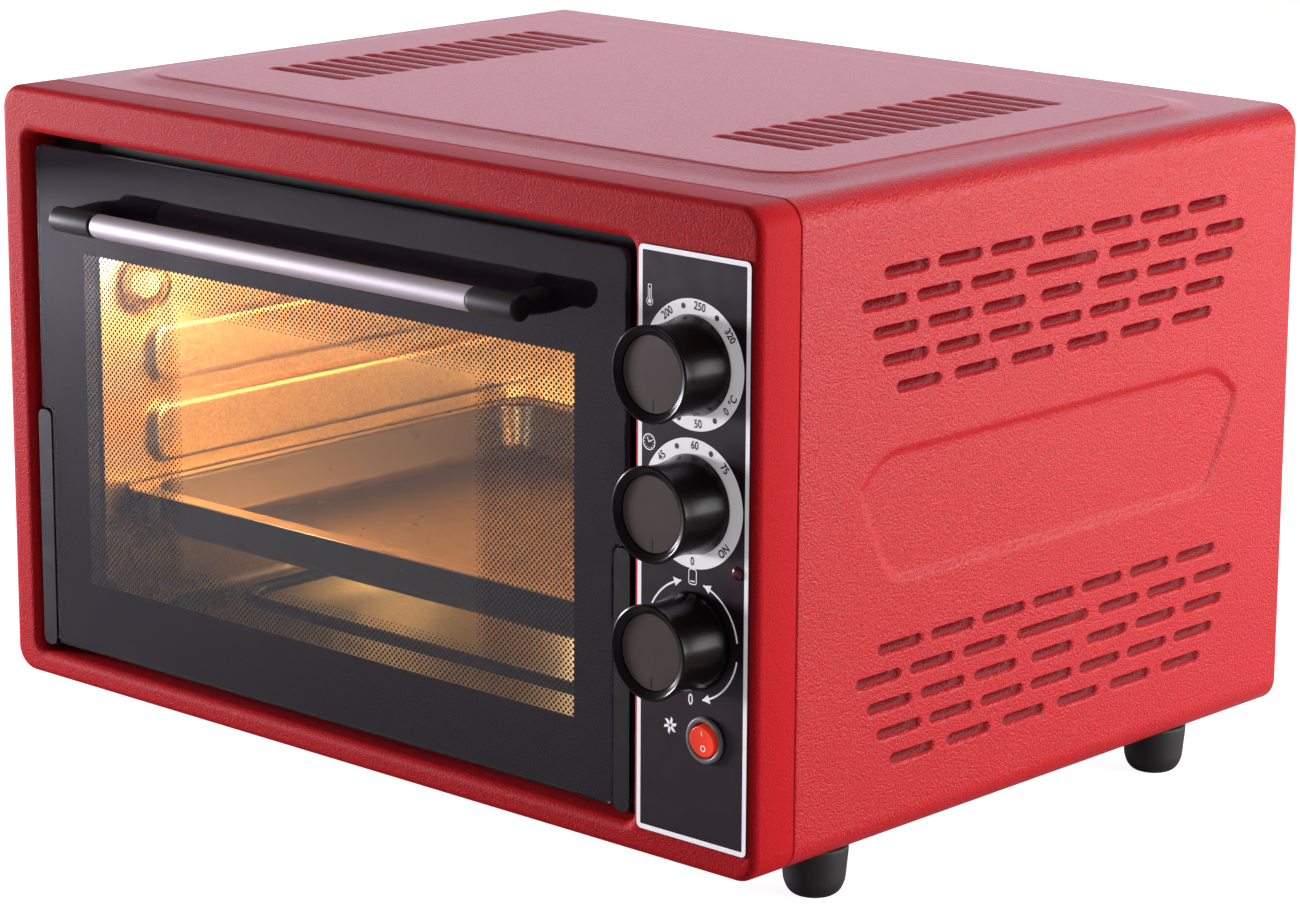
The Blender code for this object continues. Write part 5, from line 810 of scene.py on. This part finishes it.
satin_aluminium = brushed("anodised_aluminium", "#B2A9AE", 0.62, 0, 0.35 * MM)
satin_black = surface("moulded_black_abs", "#141015", 0.5, 0.6 * MM, 0.02 * MM, {"Specular IOR Level": 0.3})
HANDLE = (DOOR_MID_X, -207.45 * MM, SCREW_Z)
POST_SHAPE = ((-1, -203), (-1, -200), (-0.7, -196), (-0.2, -190), (0, -187), (0, -185.9), (-0.4, -185.55))
bar = [(4.8, -132), (5.7, -132), (6, -131.7), (6, 131.7), (5.7, 132), (4.8, 132), (4.8, -132)]
seat(turned("handle_bar", scaled(bar), HANDLE, RIGHT, satin_aluminium, 64), "door", "aluminium",
     "handle_tube")
for side_name, side, facing in (("left", -1, LEFT), ("right", 1, RIGHT)):
    end = softened([(0, 132.3), (6.5, 132.3), (6.5, 163), (0, 163)], 1.6, False, 5)
    cap = turned("handle_cap_" + side_name, scaled(end), HANDLE, facing, satin_black, 64)
    post_x = DOOR_MID_X + side * SCREW_REACH
    post = bmesh.new()
    post_at = lambda growth: rounded((post_x - 7 * MM - growth, 270.8 * MM - growth),
                                     (post_x + 7 * MM + growth, 282.8 * MM + growth), 5 * MM + growth)
    rings = [raised(post_at(growth * MM), y * MM) for growth, y in POST_SHAPE]
    skin(post, upright, rings)
    fill(post, upright, [post_at(-0.4 * MM)], -185.55 * MM)
    fill(post, upright, [post_at(-1 * MM)], -203 * MM)
    foot = piece("handle_post_" + side_name, post, satin_black)
    seat(cap, "door", "black_plastic", "handle_end_" + side_name)
    seat(foot, "door", "black_plastic")

# Hinge arms: black lacquered steel strips at the door's lower corners, each turning on a zinc-plated pin in a
# bracket. The same lacquer covers the inner frame, which carries an inner pane that hardly mirrors.
black_lacquer = surface("black_lacquered_steel", "#151315", 0.26, 0.8 * MM, 0.015 * MM)
bright_zinc = surface("zinc_plated_steel", "#C8CBCD", 0.3, 0.4 * MM, 0.01 * MM, {"Metallic": 1.0})
for side_name in ("left", "right"):
    nodes["hinge_arm_" + side_name].data.materials[0] = black_lacquer
    nodes["hinge_pin_" + side_name].data.materials[0] = bright_zinc
    nodes["hinge_bracket_" + side_name].data.materials[0] = bright_zinc
    nodes["handle_screw_" + side_name].data.materials[0] = bright_zinc
nodes["door_inner_frame"].data.materials[0] = black_lacquer
clear_pane = material_of("low_reflection_glass", "#FCFFFE", 0.0, {"Transmission Weight": 1.0, "IOR": 1.08})[0]
nodes["door_glass_inner"].data.materials[0] = clear_pane

# Control label: a printed polycarbonate film on the bezel's right end, satin black with a white border and
# white dial rings, and plain line pictures beside the dials.
label_film = surface("printed_polycarbonate_film", "#24151C", 0.34, 0.5 * MM, 0.008 * MM,
                     {"Specular IOR Level": 0.32})
# The white ink has a faint emission: a painted glow that makes it brighter than the lamps light it.
white_ink_with_painted_glow = surface("white_screen_ink", "#F4F2F3", 0.5, 0.4 * MM, 0.003 * MM,
                      {"Emission Color": linear("#F4F2F3"), "Emission Strength": 0.2})
print_brown = surface("brown_screen_ink", "#33211F", 0.45, 0.4 * MM, 0.004 * MM)
nodes["control_label"].data.materials[0] = label_film
LABEL_X, LABEL_Z = (187.6 * MM, 255.2 * MM), (38.1 * MM, 312 * MM)
INK_Y = -188.07 * MM


def ring_of(bm, centre, outer, inner, y, steps=96):
    """Flat printed ring facing the front."""
    skin(bm, upright, [raised(circle(centre, outer, steps), y), raised(circle(centre, inner, steps), y)])


def stroke(bm, points, width, y, closed=False):
    """Printed line of even width along a run of points."""
    run = [Vector(point) for point in points]
    sides = []
    for i, point in enumerate(run):
        before = run[i - 1] if closed or i else point
        after = run[(i + 1) % len(run)] if closed or i < len(run) - 1 else point
        a, b = (point - before), (after - point)
        ahead = (b if b.length else a).normalized()
        way = ((a if a.length else b).normalized() + ahead).normalized()
        bend = max(0.4, way.dot(ahead))
        shift = Vector((-way.y, way.x)) * width / 2 / bend
        sides.append((point + shift, point - shift))
    rows = [[bm.verts.new(upright(*side, y)) for side in pair] for pair in sides]
    for i in range(len(rows) if closed else len(rows) - 1):
        near, far = rows[i], rows[(i + 1) % len(rows)]
        bm.faces.new((near[0], near[1], far[1], far[0]))


def arc(centre, radius, start, end, steps=24):
    """Points on an arc; angles in degrees clockwise from six o'clock, seen from the front."""
    return [(centre[0] - radius * sin(radians(start + (end - start) * i / steps)),
             centre[1] - radius * cos(radians(start + (end - start) * i / steps)))
            for i in range(steps + 1)]


ink = bmesh.new()
border_at = lambda margin: rounded((LABEL_X[0] + margin, LABEL_Z[0] + margin),
                                   (LABEL_X[1] - margin, LABEL_Z[1] - margin), max(3 * MM - margin, 0.6 * MM))
skin(ink, upright, [raised(border_at(0.25 * MM), INK_Y), raised(border_at(2.6 * MM), INK_Y)])
for name in ("thermostat", "timer"):
    ring_of(ink, (DIAL_X, DIAL_HEIGHTS[name]), 30 * MM, 20 * MM, INK_Y - 0.01 * MM)
selector = (DIAL_X, DIAL_HEIGHTS["selector"])
ARROW_RADIUS = 27.6 * MM
for start, end in ((100, 166), (194, 262), (-80, -14)):
    stroke(ink, arc(selector, ARROW_RADIUS, start, end), 0.9 * MM, INK_Y)
for angle, lean in ((166, -9), (194, 9), (-14, -9)):
    tip = arc(selector, ARROW_RADIUS, angle, angle, 1)[0]
    left_barb, right_barb = (arc(selector, reach * MM, angle + lean, angle + lean, 1)[0]
                             for reach in (30, 25.6))
    ink.faces.new([ink.verts.new(upright(*point, INK_Y)) for point in (left_barb, tip, right_barb)])
box = rounded((219.3 * MM, 160.2 * MM), (223.9 * MM, 167.2 * MM), 1.2 * MM, 4)
stroke(ink, box, 0.5 * MM, INK_Y, True)
stroke(ink, [(220.3 * MM, 161.6 * MM), (222.9 * MM, 161.6 * MM)], 0.6 * MM, INK_Y)
fan_icon = (208.6 * MM, 91.4 * MM)
for blade in range(6):
    petal = [(0.7, -0.2), (2.0, -0.8), (3.6, -0.5), (4.4, 0.9), (3.2, 0.75), (2.0, 0.9), (0.9, 0.6)]
    a = radians(60 * blade + 12)
    points = [(fan_icon[0] + (u * cos(a) - v * sin(a)) * 0.95 * MM,
               fan_icon[1] + (u * sin(a) + v * cos(a)) * 0.95 * MM) for u, v in petal]
    fill(ink, upright, [points], INK_Y)
dial_thermometer, dial_clock = (194.6 * MM, 286.2 * MM), (194.6 * MM, 221.6 * MM)
stem = arc(dial_thermometer, 1.9 * MM, -150, 150, 16)
stroke(ink, [(stem[0][0], dial_thermometer[1] + 7.6 * MM)] + stem
       + [(stem[-1][0], dial_thermometer[1] + 7.6 * MM)], 0.35 * MM, INK_Y, True)
fill(ink, upright, [circle(dial_thermometer, 1.1 * MM, 16)], INK_Y)
stroke(ink, [(dial_thermometer[0], dial_thermometer[1] + 1 * MM),
             (dial_thermometer[0], dial_thermometer[1] + 6 * MM)], 0.5 * MM, INK_Y)
stroke(ink, circle(dial_clock, 3.6 * MM, 32), 0.5 * MM, INK_Y, True)
for hour in range(12):
    stroke(ink, [arc(dial_clock, reach * MM, 30 * hour, 30 * hour, 1)[0] for reach in (2.5, 3.0)],
           0.35 * MM, INK_Y)
stroke(ink, [(dial_clock[0] - 1.1 * MM, dial_clock[1] + 1.9 * MM), dial_clock,
             (dial_clock[0] + 1.9 * MM, dial_clock[1] + 1.1 * MM)], 0.5 * MM, INK_Y)
seat(piece("label_white_print", ink, white_ink_with_painted_glow, (0, -1, 0)), "oven_body", "label_film")


def words(bm, text, size, place, turn, weight=0.0, squeeze=0.82):
    """Printed figures facing the front, centred on a place and turned clockwise by degrees."""
    curve = bpy.data.curves.new("figures", "FONT")
    curve.body, curve.size, curve.offset, curve.resolution_u = text, size, weight, 4
    curve.align_x, curve.align_y = "CENTER", "CENTER"
    holder = bpy.data.objects.new("figures", curve)
    scene.collection.objects.link(holder)
    mesh = bpy.data.meshes.new_from_object(holder.evaluated_get(bpy.context.evaluated_depsgraph_get()))
    bpy.data.objects.remove(holder, do_unlink=True)
    facing_front = Matrix.Rotation(radians(turn), 4, "Y") @ Matrix.Rotation(pi / 2, 4, "X")
    mesh.transform(Matrix.Translation(place) @ facing_front @ Matrix.Diagonal((squeeze, 1, 1, 1)))
    bm.from_mesh(mesh)
    bpy.data.meshes.remove(mesh)


figures = bmesh.new()
scales = {
    "thermostat": ((-61, "°C"), (-47, "0"), (-28.6, "."), (-6, "50"), (19, "."), (44, "100"), (69, "."),
                   (94, "150"), (118, "."), (143, "200"),
                   (166, "."), (187, "250"), (210.5, "."), (233, "320")),
    "timer": ((-45, "ON"), (0, "0"), (22.5, "."), (45, "15"), (67.5, "."), (90, "30"), (112.5, "."),
              (135, "45"), (158.5, "."), (182, "60"), (203.5, "."), (225, "75")),
}
for name, marks in scales.items():
    centre = (DIAL_X, DIAL_HEIGHTS[name])
    for angle, text in marks:
        x, z = arc(centre, 26.8 * MM, angle, angle, 1)[0]
        if text == ".":
            fill(figures, upright, [circle((x, z), 1.35 * MM, 20)], INK_Y - 0.04 * MM)
        else:
            turn = angle if -90 <= angle <= 90 else angle - 180
            words(figures, text, 5.3 * MM, (x, INK_Y - 0.04 * MM, z), turn, 0.15 * MM, 0.88)
seat(piece("dial_figures", figures, print_brown, (0, -1, 0)), "oven_body", "label_film")
zero = bmesh.new()
words(zero, "0", 7.4 * MM, (DIAL_X - 0.5 * MM, INK_Y, 106 * MM), 0, 0.08 * MM)
seat(piece("selector_zero", zero, white_ink_with_painted_glow, (0, -1, 0)), "oven_body", "label_film")

# Dials: hollow knobs moulded in glossy black phenolic, pushed onto their shafts, each with a satin brown-grey
# disc let into its dished face and a dark pointer line at the disc's edge.
knob_gloss = surface("glossy_black_phenolic", "#0D0607", 0.2, 1.5 * MM, 0.006 * MM,
                     {"Specular IOR Level": 0.2}, 0.03)
disc_satin = surface("satin_brown_grey_lacquer", "#40302B", 0.4, 0.5 * MM, 0.008 * MM,
                     {"Specular IOR Level": 0.3})
pointer_dark = surface("black_pointer_ink", "#080607", 0.4, 0.5 * MM, 0.004 * MM)
barrel = [(23 - 4 * t * (1 - t) * 1.55 - 0.7 * t, 2.1 + 27.2 * t) for t in (i / 12 for i in range(13))]
knob = [(0, 26.2), (18.05, 26.2), (18.05, 28.35), (18.3, 28.55), (20.5, 30.2), (20.9, 30.42), (21.6, 30.5),
        (22.1, 30.25), (22.3, 29.8)]
knob += barrel[::-1][1:] + [(23, 1.8), (22.8, 1.5), (21, 1.5), (19, 15.2), (19, 24), (6, 24), (6, 1.5),
                            (3.3, 1.5), (3.3, 15.8), (0, 15.8)]
for name, z in DIAL_HEIGHTS.items():
    place = (DIAL_X, FACE_Y, z)
    seat(turned(name + "_dial", scaled(knob), place, FRONT, knob_gloss, 128, 30), name + "_dial",
         "knob_plastic", name + "_knob")
    disc = [(0, 28.0), (17.4, 28.0), (17.75, 27.75), (17.75, 26.5), (0, 26.5)]
    seat(turned(name + "_dial_disc", scaled(disc), place, FRONT, disc_satin, 96), name + "_dial",
         "disc_brown", name + "_knob_disc")
    pointer = bmesh.new()
    pointer_at = lambda margin: rounded((DIAL_X - 0.65 * MM + margin, z - 17.2 * MM + margin),
        (DIAL_X + 0.65 * MM - margin, z - 11.6 * MM - margin), 0.4 * MM - margin, 3)
    slab(pointer, upright, pointer_at, FACE_Y - 28.12 * MM, FACE_Y - 27.9 * MM, 0.05 * MM)
    seat(piece(name + "_pointer", pointer, pointer_dark), name + "_dial", "knob_plastic")
    nodes[name + "_shaft"].data.materials[0] = bright_zinc

# Pilot light: a domed lens of red acrylic, pushed through the bezel and held by its shoulder from behind. It
# is off, so it looks a deep dark red with a small sharp highlight.
red_acrylic = material_of("red_acrylic", "#560B13", 0.12, {"IOR": 1.49, "Coat Weight": 0.3})[0]
lens = softened([(0, 2.2), (1.8, 2.05), (3, 1.3), (3, -1.3), (4.5, -1.3), (4.5, -2.8), (3, -2.8), (3, -14),
                 (0, -14)], 0.3, False)
seat(turned("pilot_lens", scaled(lens), (PILOT[0], FACE_Y, PILOT[1]), FRONT, red_acrylic, 40), "oven_body",
     "red_lens", "pilot_light")

# Fan switch: a round rocker of translucent orange-red polycarbonate in a grey moulded ring that snaps into
# the bezel. A lamp inside makes the rocker glow a little, and its two marks are printed white.
lit = {"Emission Color": linear("#FF3A18"), "Emission Strength": 0.25, "Subsurface Weight": 0.1}
rocker_red = material_of("lit_red_polycarbonate", "#F23A1E", 0.25, lit)[0]
ring_grey = surface("moulded_grey_nylon", "#6E6A6C", 0.4, 0.4 * MM, 0.01 * MM)
ring = softened([(0, -2.8), (8.4, -2.8), (8.4, 2.4), (9.0, 3.0), (10.4, 3.0), (11, 2.1), (11, 1.1),
                 (9.6, 1.1), (9.6, -16), (0, -16)], 0.35, False)
seat(turned("fan_switch_ring", scaled(ring), (SWITCH[0], FACE_Y, SWITCH[1]), FRONT, ring_grey, 64),
     "oven_body", "grey_plastic", "fan_switch_housing")
rocker = softened([(0, 2.2), (5.2, 2.6), (7.2, 3), (7.5, 2.6), (7.5, -2), (0, -2)], 0.4, False)
ROCKER_TILT = radians(8)
tilt = (0, -cos(ROCKER_TILT), -sin(ROCKER_TILT))
button = turned("fan_switch_button", scaled(rocker), (SWITCH[0], FACE_Y - 1 * MM, SWITCH[1]), tilt,
                rocker_red, 64)
seat(button, "fan_rocker", "rocker_red", "fan_switch_rocker")

marks = bmesh.new()
stroke(marks, [(SWITCH[0], SWITCH[1] + 2.4 * MM), (SWITCH[0], SWITCH[1] + 4.8 * MM)], 0.5 * MM, 0.0)
stroke(marks, circle((SWITCH[0], SWITCH[1] - 3.6 * MM), 1.3 * MM, 24), 0.5 * MM, 0.0, True)
for vert in marks.verts:
    up = vert.co.z - SWITCH[1]
    dish = 2.3 + 0.35 * (up / MM / 5.2) ** 2
    vert.co.y = FACE_Y - 1 * MM - (dish + 0.06) * MM / cos(ROCKER_TILT) - up * tan(ROCKER_TILT)
seat(piece("rocker_marks", marks, white_ink_with_painted_glow, (0, -1, 0)), "fan_rocker", "rocker_red")

# Feet: moulded black rubber cups, tapered to the floor and screwed up into the base at the four corners. They
# are matt, so they show only a dull shoulder of light.
foot_rubber = surface("moulded_black_rubber", "#121112", 0.62, 0.7 * MM, 0.04 * MM)
cup = softened([(0, -0.3), (16, -0.3), (16, -3), (14.6, -18), (12.6, -22.6), (9.5, -25), (0, -25)], 2.2,
               False, 4)
for end_name, y in (("front", -117.25 * MM), ("rear", 147.75 * MM)):
    for side_name, side in (("left", -1), ("right", 1)):
        name = "foot_" + end_name + "_" + side_name
        seat(turned(name + "_cup", scaled(cup), (side * 235.5 * MM, y, BASE_Z), UP, foot_rubber, 64),
             "oven_body", "rubber", name)

# Everything behind and below: galvanised rear panel and base, screws, gland, fan, and the control bodies
# that stand behind the bezel.
white_ceramic = surface("white_steatite", "#E4E0D6", 0.5, 0.6 * MM, 0.02 * MM)
grey_nylon = surface("moulded_grey_pbt", "#8A8C8E", 0.45, 0.6 * MM, 0.02 * MM)
finishes = {
    plain_zinc: ("rear_panel", "base_plate", "fan_cover", "fan_wheel"),
    bright_zinc: ("fan_shaft", "timer_body", "thermostat_sensor"),
    white_ceramic: ("lamp_holder", "thermostat_body"),
    grey_nylon: ("selector_body",),
    satin_black: ("lead_gland",),
    black_lacquer: ("fan_motor",),
}
for material, names in finishes.items():
    for name in names:
        nodes[name].data.materials[0] = material
for end_name in ("front", "rear"):
    for side_name in ("left", "right"):
        nodes["base_screw_" + end_name + "_" + side_name].data.materials[0] = bright_zinc
